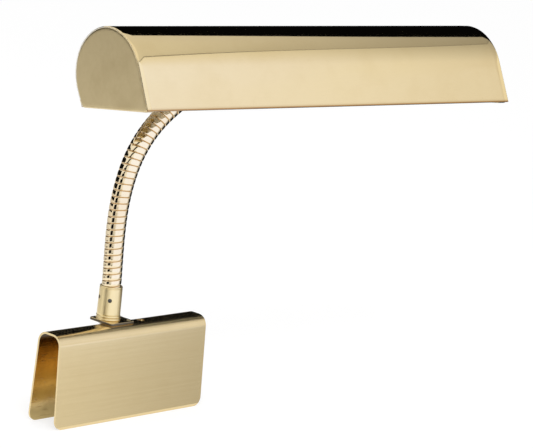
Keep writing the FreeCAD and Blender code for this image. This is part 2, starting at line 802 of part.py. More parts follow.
def make_lamp_leads():
    to_holder = lead(-1, holder_floor_x - holder_floor, holder_radius)
    to_switch = lead(1, (switch_low + cap_inner_x) / 2, switch_radius)
    return in_shade(Part.makeCompound([to_holder, to_switch]))


# ---------------------------------------------------------------- the whole lamp
def switch_hole():
    hole = rod(switch_neck_radius + fit_gap, V(cap_inner_x, 0, lamp_rise), V(cap_outer_x, 0, lamp_rise))
    return placed(hole, turned_x(bracket_turn))


def make_lamp():
    """Every piece of the lamp under its own name."""
    pieces = {
        "clip_body": make_clip(),
        "mounting_plate": make_plate(),
        "plate_rivets": Part.makeCompound([rivet(place, 0) for place in rivet_places]),
        "base_ferrule": make_base_ferrule(),
        "ferrule_set_screws": make_set_screws(),
        "base_nipple": make_nipple(),
        "nipple_nut": make_nipple_nut(),
        "cord_bushing": make_cord_bushing(),
        "neck_root": make_neck_root(),
        "upper_ferrule": make_upper_ferrule(),
        "upper_set_screw": make_upper_set_screw(),
        "pivot_tube": make_pivot_tube(),
        "friction_washer": make_friction_washer(),
        "spring_washer": make_spring_washer(),
        "pivot_nut": make_pivot_nut(),
        "shade_shell": make_shade_shell(),
        "end_cap_left": make_end_cap(cap_inset, []),
        "end_cap_right": make_end_cap(cap_inner_x, [switch_hole()]),
        "pivot_bracket": make_pivot_bracket(),
        "socket_bracket": make_socket_bracket(),
        "lamp_holder": make_lamp_holder(),
        "holder_screws": make_holder_screws(),
        "screw_shell": make_screw_shell(),
        "centre_contact": make_centre_contact(),
        "bulb_glass": make_bulb_glass(),
        "bulb_cap": make_bulb_cap(),
        "bulb_insulator": make_bulb_insulator(),
        "bulb_tip": make_bulb_tip(),
        "bulb_filament": make_bulb_filament(),
        "lamp_leads": make_lamp_leads(),
        "switch_body": make_switch_body(),
        "switch_nut": make_switch_nut(),
        "switch_spindle": make_switch_spindle(),
        "switch_knob": make_switch_knob(),
    }
    for index in range(len(link_lean)):
        pieces["neck_link_%02d" % (index + 1)] = make_neck_link(index)
    return pieces


lamp = make_lamp()
os.makedirs("parts", exist_ok=True)
for node, shape in lamp.items():
    shape.exportStep("parts/" + node + ".step")
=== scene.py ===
"""Looks of a clip-on piano lamp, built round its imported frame.

Metres, in the lamp's own frame: +X runs along the clip, +Y to its back, +Z up, and the origin is
on the underside of the clip's top.
"""

from __future__ import annotations

import json
import logging
import math
from dataclasses import dataclass, field
from enum import Enum
from typing import Iterable, Sequence

import bpy
from mathutils import Matrix, Vector


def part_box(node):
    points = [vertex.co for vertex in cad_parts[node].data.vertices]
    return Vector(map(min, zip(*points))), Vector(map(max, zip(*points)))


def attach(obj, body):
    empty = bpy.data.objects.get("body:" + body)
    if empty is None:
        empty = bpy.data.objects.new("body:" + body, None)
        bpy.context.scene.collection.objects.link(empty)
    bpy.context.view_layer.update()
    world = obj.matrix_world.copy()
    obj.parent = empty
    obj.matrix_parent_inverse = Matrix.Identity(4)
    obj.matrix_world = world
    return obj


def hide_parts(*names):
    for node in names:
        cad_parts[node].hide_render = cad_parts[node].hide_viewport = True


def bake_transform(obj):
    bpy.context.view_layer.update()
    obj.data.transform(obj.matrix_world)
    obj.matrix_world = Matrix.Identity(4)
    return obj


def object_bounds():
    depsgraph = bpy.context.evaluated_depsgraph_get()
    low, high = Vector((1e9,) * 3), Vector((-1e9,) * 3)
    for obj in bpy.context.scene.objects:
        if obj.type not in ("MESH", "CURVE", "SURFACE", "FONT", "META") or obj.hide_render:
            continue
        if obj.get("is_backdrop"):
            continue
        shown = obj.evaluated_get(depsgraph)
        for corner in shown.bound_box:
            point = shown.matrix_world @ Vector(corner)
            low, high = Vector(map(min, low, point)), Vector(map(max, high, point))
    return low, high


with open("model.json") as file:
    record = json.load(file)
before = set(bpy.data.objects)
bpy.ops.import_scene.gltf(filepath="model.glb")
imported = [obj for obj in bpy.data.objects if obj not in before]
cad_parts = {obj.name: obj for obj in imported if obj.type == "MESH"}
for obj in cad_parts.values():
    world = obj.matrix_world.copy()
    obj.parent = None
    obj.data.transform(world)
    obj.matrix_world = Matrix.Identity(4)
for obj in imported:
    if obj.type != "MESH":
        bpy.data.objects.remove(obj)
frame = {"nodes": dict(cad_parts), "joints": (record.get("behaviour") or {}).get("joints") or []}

MM = 0.001
LOG = logging.getLogger("piano_lamp")
SHARP = 38.0

Piece = bpy.types.Object
Pair = tuple[float, float]
Triple = tuple[float, float, float]
Colour = Triple
Outline = list[Pair]


def joint(name: str) -> dict:
    """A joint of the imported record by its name."""
    return next(item for item in frame["joints"] if item["name"] == name)


def arc(centre: Pair, radius: float, start: float, stop: float, steps: int) -> Outline:
    """Points along a circular arc.

    Args:
        centre: The arc's centre in its plane.
        radius: Its radius.
        start: The direction of its first point from the centre, in degrees.
        stop: The direction of its last point.
        steps: How many equal steps it takes.

    Returns:
        The points, both ends included.
    """
    angles = [math.radians(start + (stop - start) * i / steps) for i in range(steps + 1)]
    return [(centre[0] + radius * math.cos(a), centre[1] + radius * math.sin(a)) for a in angles]


# ---------------- shader values
class Field:
    """One shader value, whose arithmetic adds the nodes that it needs."""

    def __init__(self, graph: Graph, socket: bpy.types.NodeSocket) -> None:
        """Wrap an output socket of the graph's tree."""
        self.graph = graph
        self.socket = socket

    def __add__(self, other: Operand) -> Field:
        """This value plus another."""
        return self.graph.combine("ADD", self, other)

    def __radd__(self, other: Operand) -> Field:
        """Another value plus this one."""
        return self.graph.combine("ADD", other, self)

    def __sub__(self, other: Operand) -> Field:
        """This value less another."""
        return self.graph.combine("SUBTRACT", self, other)

    def __rsub__(self, other: Operand) -> Field:
        """Another value less this one."""
        return self.graph.combine("SUBTRACT", other, self)

    def __mul__(self, other: Operand) -> Field:
        """This value times another."""
        return self.graph.combine("MULTIPLY", self, other)

    def __rmul__(self, other: Operand) -> Field:
        """Another value times this one."""
        return self.graph.combine("MULTIPLY", other, self)

    def above(self, low: float, high: float) -> Field:
        """A smooth mask of this value.

        Args:
            low: Where the mask leaves 0.
            high: Where it reaches 1.

        Returns:
            The mask.
        """
        settings = {"interpolation_type": "SMOOTHSTEP"}
        inputs = {"Value": self, "From Min": low, "From Max": high}
        return self.graph.add("ShaderNodeMapRange", settings, inputs, "Result")

    def tint(self, low: Colour, high: Colour) -> Field:
        """A colour from low to high as this mask goes from 0 to 1."""
        return self.graph.mix_colours(self, low, high)


Operand = Field | float | tuple
SocketKey = str | int


class Graph:
    """A node tree under construction."""

    def __init__(self, tree: bpy.types.NodeTree) -> None:
        """Start an empty tree."""
        self.tree = tree
        tree.nodes.clear()

    def add(self, kind: str, settings: dict, inputs: dict[SocketKey, Operand],
            output: SocketKey = 0) -> Field:
        """Add any node.

        Args:
            kind: The node's type.
            settings: The node's own settings, which are set first.
            inputs: Values or links for its sockets.
            output: The socket that the result comes from.

        Returns:
            The chosen output as a Field, or the first input of a node that has no outputs.
        """
        node = self.tree.nodes.new(kind)
        for name, value in settings.items():
            setattr(node, name, value)
        for key, value in inputs.items():
            if isinstance(value, Field):
                self.tree.links.new(value.socket, node.inputs[key])
            else:
                node.inputs[key].default_value = value
        if not node.outputs:
            return Field(self, node.inputs[0])
        return Field(self, node.outputs[output])

    def combine(self, operation: str, first: Operand, second: Operand) -> Field:
        """Arithmetic on two values, colours or vectors.

        Args:
            operation: What is done, by the name that the nodes use.
            first: The value on its left.
            second: The value on its right.

        Returns:
            The result, from a Mix, a Vector Math or a Math node.
        """
        kinds = {value.socket.type for value in (first, second) if isinstance(value, Field)}
        if "RGBA" in kinds:
            settings = {"data_type": "RGBA", "blend_type": operation, "clamp_factor": True}
            inputs = {0: 1.0, 6: first, 7: second}
            return self.add("ShaderNodeMix", settings, inputs, 2)
        if "VECTOR" in kinds:
            return self.add("ShaderNodeVectorMath", {"operation": operation}, {0: first, 1: second})
        return self.add("ShaderNodeMath", {"operation": operation}, {0: first, 1: second})

    def mix_colours(self, share: Operand, low: Operand, high: Operand) -> Field:
        """A colour between two others, where a plain one has three numbers."""
        low, high = ((*colour, 1.0) if isinstance(colour, tuple) else colour for colour in (low, high))
        return self.add("ShaderNodeMix", {"data_type": "RGBA"}, {0: share, 6: low, 7: high}, 2)

    def place(self) -> Field:
        """The surface point in the lamp's frame."""
        return self.add("ShaderNodeTexCoord", {}, {}, "Object")

    def attribute(self, name: str, output: str = "Fac") -> Field:
        """A value that the mesh holds for each point."""
        return self.add("ShaderNodeAttribute", {"attribute_name": name}, {}, output)

    def noise(self, where: Field, scale: float, detail: float, roughness: float) -> Field:
        """Soft noise from 0 to 1."""
        inputs = {"Vector": where, "Scale": scale, "Detail": detail, "Roughness": roughness}
        return self.add("ShaderNodeTexNoise", {}, inputs, "Fac")

    def bump(self, height: Field, distance: float) -> Field:
        """A bumped normal from a height from 0 to 1."""
        return self.add("ShaderNodeBump", {}, {"Height": height, "Distance": distance}, "Normal")

    def surface(self, inputs: dict[SocketKey, Operand]) -> None:
        """Finish the tree with one Principled surface."""
        shader = self.add("ShaderNodeBsdfPrincipled", {}, inputs, "BSDF")
        self.add("ShaderNodeOutputMaterial", {}, {"Surface": shader})


def new_material(name: str) -> tuple[bpy.types.Material, Graph]:
    """Start a material.

    Args:
        name: Its name.

    Returns:
        The empty material and its graph.
    """
    material = bpy.data.materials.new(name)
    material.use_nodes = True
    return material, Graph(material.node_tree)


# ---------------- finishes
class Grain(Enum):
    """Which way the fine lines of a worked surface run, as stretches of its noise."""

    ALONG_X = (6.0, 900.0, 900.0)
    RINGS_ABOUT_Z = (40.0, 40.0, 2600.0)
    RINGS_ABOUT_X = (2600.0, 40.0, 40.0)
    NONE = (260.0, 260.0, 260.0)


@dataclass(frozen=True)
class WorkedMetal:
    """Sheet or turned metal under a thin lacquer, with grain, smudges, tarnish and small specks, and where
    asked a painted dark reflection line along its rims.

    Attributes:
        colour: The clean metal.
        tarnish: The metal where it is dull.
        roughness: Roughness between the marks.
        grain: Which way its fine lines run.
        grain_relief: How deep these lines are.
        grain_gloss: How much they roughen it.
        smudge: How much fingers have roughened it.
        tarnish_share: How far it has dulled in clouds.
        coat: Weight of the lacquer.
        rim: The colour of a painted dark line along a rim, where the mesh marks one, in place of the dark
            reflection on a rounded hem.
    """

    name: str
    colour: Colour
    tarnish: Colour
    roughness: float
    grain: Grain
    grain_relief: float
    grain_gloss: float = 0.05
    smudge: float = 0.08
    tarnish_share: float = 0.35
    coat: float = 0.0
    rim: Colour | None = None
    cloud_scale: float = 38.0
    smear_scale: float = 24.0
    smear_stretch: Triple = (1.0, 2.2, 1.4)
    smear_shift: Triple = (3.1, 0.4, 1.7)
    speck_scale: float = 900.0
    speck_share: float = 0.22
    speck_roughness: float = 0.10
    dulled_roughness: float = 0.06
    rim_share: float = 0.85
    coat_roughness: float = 0.08

    def build(self) -> bpy.types.Material:
        """Make the material."""
        material, graph = new_material(self.name)
        place = graph.place()
        lines = graph.noise(place * self.grain.value, 1.0, 4.0, 0.6)
        cloud = graph.noise(place, self.cloud_scale, 4.0, 0.55)
        smears = graph.noise(place * self.smear_stretch + self.smear_shift, self.smear_scale, 5.0, 0.62)
        smears = smears.above(0.50, 0.74)
        specks = graph.noise(place, self.speck_scale, 2.0, 0.5).above(0.70, 0.80)
        dulled = cloud.above(0.42, 0.72) * self.tarnish_share
        colour = dulled.tint(self.colour, self.tarnish)
        colour = graph.mix_colours(specks * self.speck_share, colour, self.tarnish)
        colour = graph.mix_colours(lines.above(0.35, 0.65) * self.grain_gloss * 2.0, colour, self.tarnish)
        # Painted reflection: a dark line along the rims, where the mesh's rim mark is high.
        if self.rim:
            painted_rim_line = graph.attribute("rim").above(0.20, 0.60) * self.rim_share
            colour = graph.mix_colours(painted_rim_line, colour, self.rim)
        rough = lines * self.grain_gloss + smears * self.smudge + specks * self.speck_roughness
        rough = rough + dulled * self.dulled_roughness + (self.roughness - self.grain_gloss / 2)
        normal = graph.bump(lines, self.grain_relief)
        graph.surface({
            "Base Color": colour, "Metallic": 1.0, "Roughness": rough, "Normal": normal,
            "Coat Weight": self.coat, "Coat Roughness": self.coat_roughness,
        })
        return material


@dataclass(frozen=True)
class AgedInsideWithPaintedShade:
    """The clip's inside, never polished: painted shade below the bend, dull at the toes, and scratched along.

    Attributes:
        colour: The bare metal.
        stain: The metal in its clouds and scratches.
        painted_shade: Its colour below the bend, a painted shade where the fold keeps light out.
        toe: Its colour at the toes.
        roughness: Roughness between the marks.
        painted_shade_band: Heights where the painted shade starts and is full.
        painted_shade_waver: How far clouds move that band.
        toe_band: Depths where the dull toe starts and is full.
        toe_waver: How far clouds move that band.
    """

    name: str
    colour: Colour
    stain: Colour
    painted_shade: Colour
    toe: Colour
    roughness: float
    painted_shade_band: Pair = (-22 * MM, 4 * MM)
    painted_shade_waver: float = 12 * MM
    toe_band: Pair = (54 * MM, 64 * MM)
    toe_waver: float = 6 * MM
    cloud_scale: float = 60.0
    scratch_stretch: Triple = (90.0, 140.0, 700.0)
    scratch_relief: float = 0.01 * MM

    def build(self) -> bpy.types.Material:
        """Make the material."""
        material, graph = new_material(self.name)
        place = graph.place()
        height = graph.add("ShaderNodeSeparateXYZ", {}, {"Vector": place}, "Z")
        cloud = graph.noise(place, self.cloud_scale, 4.0, 0.6)
        scratches = graph.noise(place * self.scratch_stretch, 1.0, 3.0, 0.5).above(0.60, 0.68)
        # Painted shade: near black under the bend, where the fold keeps light out.
        shade_below_bend = (height + cloud * self.painted_shade_waver).above(*self.painted_shade_band)
        at_toe = (height * -1.0 + cloud * self.toe_waver).above(*self.toe_band)
        stained = cloud.above(0.45, 0.75) * 0.5
        colour = stained.tint(self.colour, self.stain)
        colour = graph.mix_colours(scratches * 0.6, colour, self.stain)
        colour = graph.mix_colours(at_toe * 0.85, colour, self.toe)
        colour = graph.mix_colours(shade_below_bend * 0.95, colour, self.painted_shade)
        rough = stained * 0.12 + scratches * 0.15 + at_toe * 0.25 + self.roughness
        graph.surface({
            "Base Color": colour, "Metallic": 1.0, "Roughness": rough,
            "Normal": graph.bump(scratches, self.scratch_relief),
        })
        return material


@dataclass(frozen=True)
class CoiledMetal:
    """Strip wound into a hose: polished crowns, and dull grooves that the cloth never reaches."""

    name: str
    colour: Colour
    groove: Colour
    roughness: float
    drawn_stretch: Triple = (160.0, 3.0, 1.0)
    cloud_stretch: Triple = (0.9, 1.6, 1.0)
    drawn_relief: float = 0.004 * MM

    def build(self) -> bpy.types.Material:
        """Make the material from the coil's own coordinates, which move with the hose."""
        material, graph = new_material(self.name)
        coil = graph.attribute("coil_place", "Vector")
        crown = graph.attribute("coil_crown")
        drawn = graph.noise(coil * self.drawn_stretch, 1.0, 3.0, 0.6)
        cloud = graph.noise(coil * self.cloud_stretch, 1.3, 3.0, 0.6)
        hollow = 1.0 - crown.above(0.02, 0.45)
        stained = cloud.above(0.45, 0.75) * 0.30
        colour = stained.tint(self.colour, self.groove)
        colour = graph.mix_colours(hollow * 0.85, colour, self.groove)
        rough = hollow * 0.25 + drawn * 0.06 + stained * 0.12 + (self.roughness - 0.03)
        graph.surface({
            "Base Color": colour, "Metallic": 1.0, "Roughness": rough,
            "Normal": graph.bump(drawn, self.drawn_relief),
        })
        return material


@dataclass(frozen=True)
class Coating:
    """Enamel or moulded plastic: a smooth body, in its shade where it has aged, with a fine skin and dust."""

    name: str
    colour: Colour
    shade: Colour
    roughness: float
    relief: float
    coat: float = 0.0
    dust: Colour = (0.62, 0.60, 0.55)
    cloud_scale: float = 55.0
    skin_scale: float = 700.0
    dust_scale: float = 1400.0

    def build(self) -> bpy.types.Material:
        """Make the material."""
        material, graph = new_material(self.name)
        place = graph.place()
        cloud = graph.noise(place, self.cloud_scale, 4.0, 0.55)
        skin = graph.noise(place, self.skin_scale, 2.0, 0.5)
        dusted = graph.noise(place, self.dust_scale, 1.0, 0.5).above(0.72, 0.82)
        colour = cloud.above(0.35, 0.75).tint(self.colour, self.shade)
        colour = graph.mix_colours(dusted * 0.10, colour, self.dust)
        rough = cloud * 0.14 + skin * 0.06 + (self.roughness - 0.10)
        graph.surface({
            "Base Color": colour, "Roughness": rough, "Normal": graph.bump(skin, self.relief),
            "Coat Weight": self.coat,
        })
        return material


@dataclass(frozen=True)
class Sleeving:
    """Braided sleeve round a lead: two threads that cross."""

    name: str
    colour: Colour
    thread: Colour
    pitch: float
    fuzz_scale: float = 2600.0
    relief: float = 0.15 * MM

    def build(self) -> bpy.types.Material:
        """Make the material."""
        material, graph = new_material(self.name)
        place = graph.place()
        bands = {"wave_type": "BANDS", "bands_direction": "DIAGONAL"}
        threads = []
        for way in (place, place * (1.0, -1.0, 1.0)):
            inputs = {"Vector": way, "Scale": self.pitch, "Distortion": 0.6}
            threads.append(graph.add("ShaderNodeTexWave", bands, inputs, "Fac"))
        weave = threads[0] * threads[1]
        colour = weave.tint(self.thread, self.colour)
        fuzz = graph.noise(place, self.fuzz_scale, 2.0, 0.6)
        graph.surface({
            "Base Color": colour, "Roughness": fuzz * 0.2 + 0.6,
            "Normal": graph.bump(weave, self.relief),
        })
        return material


@dataclass(frozen=True)
class ClearGlass:
    """Thin blown glass with a faint film of dust."""

    name: str
    tint: Colour
    roughness: float
    dust: Colour = (0.90, 0.90, 0.88)
    index: float = 1.46
    film_scale: float = 60.0
    ripple_scale: float = 45.0
    ripple_stretch: Triple = (1.0, 0.5, 0.5)
    ripple_relief: float = 0.05 * MM

    def build(self) -> bpy.types.Material:
        """Make the material."""
        material, graph = new_material(self.name)
        place = graph.place()
        film = graph.noise(place, self.film_scale, 4.0, 0.6).above(0.50, 0.80)
        ripple = graph.noise(place * self.ripple_stretch, self.ripple_scale, 2.0, 0.5)
        graph.surface({
            "Base Color": film.tint(self.tint, self.dust), "Roughness": film * 0.05 + self.roughness,
            "Transmission Weight": 1.0, "IOR": self.index,
            "Normal": graph.bump(ripple, self.ripple_relief),
        })
        return material


BRASS: Colour = (0.82, 0.65, 0.35)
BRASS_DULL: Colour = (0.60, 0.43, 0.18)
STEEL_GREY: Colour = (0.58, 0.58, 0.57)
STEEL_DARK: Colour = (0.36, 0.35, 0.33)


class Finish(Enum):
    """Every finish of the lamp: the record's slot name and how the surface is made."""

    # Its rim colour is a painted dark reflection line along the shade's rims.
    SHADE = ("shade_brass", WorkedMetal(
        "polished_sheet_brass", BRASS, (0.74, 0.56, 0.27), 0.055, Grain.ALONG_X, 0.0006 * MM,
        grain_gloss=0.02, smudge=0.05, tarnish_share=0.25, coat=0.12, rim=(0.36, 0.17, 0.04)))
    REFLECTOR = ("shade_brass", Coating(
        "white_reflector_enamel", (0.84, 0.83, 0.79), (0.78, 0.76, 0.70), 0.38, 0.02 * MM, coat=0.2))
    CAP = ("cap_brass", WorkedMetal(
        "satin_cap_brass", (0.74, 0.60, 0.34), (0.60, 0.46, 0.23), 0.34, Grain.NONE, 0.010 * MM,
        grain_gloss=0.06, smudge=0.06, tarnish_share=0.35))
    CLIP = ("clip_brass", WorkedMetal(
        "brushed_clip_brass", (0.80, 0.64, 0.36), (0.66, 0.49, 0.23), 0.20, Grain.ALONG_X, 0.004 * MM,
        grain_gloss=0.08, smudge=0.03, tarnish_share=0.12, coat=0.10))
    # The clip's inside: its third colour is a painted shade below the bend.
    CLIP_INSIDE = ("clip_brass", AgedInsideWithPaintedShade(
        "unpolished_clip_inside", (0.92, 0.70, 0.33), (0.46, 0.27, 0.09), (0.05, 0.025, 0.015),
        (0.46, 0.35, 0.15), 0.16))
    # The plate's sides, painted almost black: a painted dark reflection of the surroundings that they mirror.
    PLATE_EDGE = ("clip_brass", WorkedMetal(
        "plate_side_painted_reflection", (0.16, 0.13, 0.09), (0.05, 0.04, 0.03), 0.34, Grain.ALONG_X, 0.010 * MM,
        grain_gloss=0.08, tarnish_share=0.5))
    TURNED = ("turned_brass", WorkedMetal(
        "turned_brass", (0.90, 0.74, 0.44), BRASS_DULL, 0.045, Grain.RINGS_ABOUT_Z, 0.0002 * MM,
        grain_gloss=0.03, smudge=0.03, tarnish_share=0.22, coat=0.10))
    TURNED_X = ("turned_brass", WorkedMetal(
        "turned_brass_level", (0.86, 0.67, 0.34), BRASS_DULL, 0.10, Grain.RINGS_ABOUT_X, 0.003 * MM,
        grain_gloss=0.05, smudge=0.05, tarnish_share=0.30, coat=0.10))
    HOSE = ("hose_brass", CoiledMetal("wound_hose_brass", (0.88, 0.74, 0.50), (0.66, 0.38, 0.12), 0.06))
    STEEL = ("steel", WorkedMetal(
        "zinc_steel", STEEL_GREY, STEEL_DARK, 0.30, Grain.NONE, 0.010 * MM, grain_gloss=0.10, smudge=0.10))
    BLACKENED = ("steel", WorkedMetal(
        "blackened_steel", (0.12, 0.12, 0.11), (0.05, 0.05, 0.05), 0.30, Grain.NONE, 0.010 * MM))
    STEEL_TURNED = ("steel", WorkedMetal(
        "turned_steel", STEEL_GREY, STEEL_DARK, 0.26, Grain.RINGS_ABOUT_X, 0.006 * MM, grain_gloss=0.10))
    CONTACT = ("contact_brass", WorkedMetal(
        "contact_brass", (0.78, 0.58, 0.28), BRASS_DULL, 0.24, Grain.RINGS_ABOUT_X, 0.006 * MM,
        tarnish_share=0.6))
    ALUMINIUM = ("cap_aluminium", WorkedMetal(
        "pressed_aluminium", (0.80, 0.80, 0.79), (0.62, 0.62, 0.61), 0.28, Grain.RINGS_ABOUT_X,
        0.004 * MM))
    PHENOLIC = ("black_phenolic", Coating(
        "black_phenolic", (0.018, 0.016, 0.014), (0.032, 0.028, 0.024), 0.32, 0.03 * MM, coat=0.15))
    KNOB_MARK = ("black_phenolic", Coating(
        "ivory_filling", (0.78, 0.74, 0.62), (0.66, 0.60, 0.46), 0.42, 0.02 * MM))
    BUSHING = ("bushing_plastic", Coating(
        "black_bushing", (0.022, 0.022, 0.023), (0.035, 0.035, 0.036), 0.48, 0.05 * MM))
    SLEEVE = ("lead_sleeve", Sleeving("braided_sleeve", (0.72, 0.64, 0.46), (0.42, 0.35, 0.22), 420.0))
    GLASS = ("bulb_glass", ClearGlass("clear_bulb_glass", (0.97, 0.98, 0.97), 0.02))

    @property
    def slot(self) -> str:
        """The record's material slot."""
        return self.value[0]

    @property
    def material(self) -> bpy.types.Material:
        """The finish's material, made on first use."""
        recipe = self.value[1]
        return bpy.data.materials.get(recipe.name) or recipe.build()


# ---------------- meshes
@dataclass
class Draft:
    """Points and faces gathered before they become one mesh."""

    points: list[Vector] = field(default_factory=list)
    faces: list[tuple[int, ...]] = field(default_factory=list)

    def grid(self, rows: Sequence[Sequence[Vector]], closed: bool = False,
             flip: bool = False) -> list[list[int]]:
        """Add rows of points and the faces between them.

        Args:
            rows: Rows with as many points each.
            closed: Whether each row's last point joins its first.
            flip: Whether the faces look the other way.

        Returns:
            The index of each point, row by row.
        """
        index = []
        for row in rows:
            index.append(list(range(len(self.points), len(self.points) + len(row))))
            self.points.extend(row)
        span = len(rows[0]) if closed else len(rows[0]) - 1
        for low, high in zip(index, index[1:]):
            for i in range(span):
                j = (i + 1) % len(low)
                face = (low[i], low[j], high[j], high[i])
                self.faces.append(face[::-1] if flip else face)
        return index

    def lid(self, ring: Sequence[int], flip: bool = False) -> None:
        """Close a ring of points with a fan round its middle.

        Args:
            ring: The ring's points, by index.
            flip: Whether the faces look the other way.
        """
        middle = sum((self.points[i] for i in ring), Vector()) / len(ring)
        self.points.append(middle)
        hub = len(self.points) - 1
        for i, first in enumerate(ring):
            face = (hub, first, ring[(i + 1) % len(ring)])
            self.faces.append(face[::-1] if flip else face)

    def solid(self, rows: Sequence[Sequence[Vector]]) -> None:
        """Add closed rows of points, with a lid on the first and the last.

        Args:
            rows: The rows of the solid's skin, each of as many points.
        """
        index = self.grid(rows, closed=True)
        self.lid(index[0], flip=True)
        self.lid(index[-1])

    def build(self, name: str, sharp: float = SHARP) -> Piece:
        """Make the object.

        Args:
            name: The piece's name.
            sharp: How many degrees a sharp edge turns, at least.

        Returns:
            The new object, linked to the scene.
        """
        mesh = bpy.data.meshes.new(name)
        mesh.from_pydata([tuple(p) for p in self.points], [], self.faces)
        mesh.validate()
        piece = bpy.data.objects.new(name, mesh)
        bpy.context.scene.collection.objects.link(piece)
        shade_by_angle(mesh, sharp)
        return piece


def shade_by_angle(mesh: bpy.types.Mesh, degrees: float) -> None:
    """Smooth shading, with sharp edges kept.

    Args:
        mesh: The mesh.
        degrees: How much a sharp edge turns, at least.
    """
    mesh.polygons.foreach_set("use_smooth", [True] * len(mesh.polygons))
    mesh.set_sharp_from_angle(angle=math.radians(degrees))
    mesh.update()


def applied(piece: Piece, sharp: float = SHARP) -> None:
    """Replace the piece's mesh with what its modifiers make of it.

    Args:
        piece: The piece.
        sharp: How many degrees a sharp edge turns, at least.
    """
    graph = bpy.context.evaluated_depsgraph_get()
    mesh = bpy.data.meshes.new_from_object(piece.evaluated_get(graph))
    piece.modifiers.clear()
    piece.data = mesh
    shade_by_angle(mesh, sharp)


def thickened(piece: Piece, sheet: float, lining: bool = False) -> None:
    """Give a surface the thickness of its sheet, away from its face.

    Args:
        piece: The surface, whose faces look outwards.
        sheet: The sheet's thickness.
        lining: Whether the inner face takes the piece's second material, which it has to wear by then.
    """
    wall = piece.modifiers.new("wall", "SOLIDIFY")
    wall.thickness = sheet
    wall.offset = -1.0
    wall.use_even_offset = True
    wall.material_offset = 1 if lining else 0
    applied(piece)


def softened(piece: Piece, edge: float, sharp: float = SHARP) -> None:
    """Round the piece's sharp edges.

    Args:
        piece: The piece.
        edge: The rounding's width.
        sharp: How many degrees a sharp edge turns, at least.
    """
    bevel = piece.modifiers.new("edge", "BEVEL")
    bevel.width = edge
    bevel.segments = 3
    bevel.limit_method = "ANGLE"
    bevel.angle_limit = math.radians(50)
    applied(piece, sharp)


def lathe(name: str, outline: Outline, place: Matrix, segments: int = 64) -> Piece:
    """Turn a closed outline about its axis.

    Args:
        name: The piece's name.
        outline: Points of (distance along the axis, radius), counterclockwise with the axis to the right;
            it starts and ends on the axis, or nowhere touches it.
        place: Where the piece stands; its axis is this frame's Z.
        segments: How many faces go round.

    Returns:
        The new object.
    """
    draft = Draft()
    rows = []
    for along, radius in (point for point in outline if point[1] > 0.0):
        ring = []
        for i in range(segments):
            angle = 2 * math.pi * i / segments
            ring.append(place @ Vector((radius * math.cos(angle), radius * math.sin(angle), along)))
        rows.append(ring)
    if len(rows) < len(outline):
        draft.solid(rows)
        return draft.build(name)
    index = draft.grid(rows, closed=True)
    first, last = index[0], index[-1]
    for i in range(segments):
        j = (i + 1) % segments
        draft.faces.append((last[i], last[j], first[j], first[i]))
    return draft.build(name)


def dress(piece: Piece, body: str, nodes: Iterable[str], *finishes: Finish) -> None:
    """Give a piece its finish, its body and the CAD nodes that it stands for.

    Args:
        piece: The finished mesh.
        body: The body it rides on.
        nodes: The CAD nodes that it replaces.
        finishes: Its finishes, one for each material slot in order.
    """
    wear(piece, *finishes)
    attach(piece, body)
    if nodes:
        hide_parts(*nodes)
    LOG.info("%s rides on %s and stands for %s", piece.name, body, ", ".join(nodes) or "no node")


def wear(piece: Piece, *finishes: Finish) -> None:
    """Set a piece's materials.

    Args:
        piece: The piece.
        finishes: Its finishes, one for each material slot in order.
    """
    if len(piece.data.materials) != len(finishes):
        piece.data.materials.clear()
        for finish in finishes:
            piece.data.materials.append(finish.material)
    for number, finish in enumerate(finishes):
        piece.data.materials[number] = finish.material


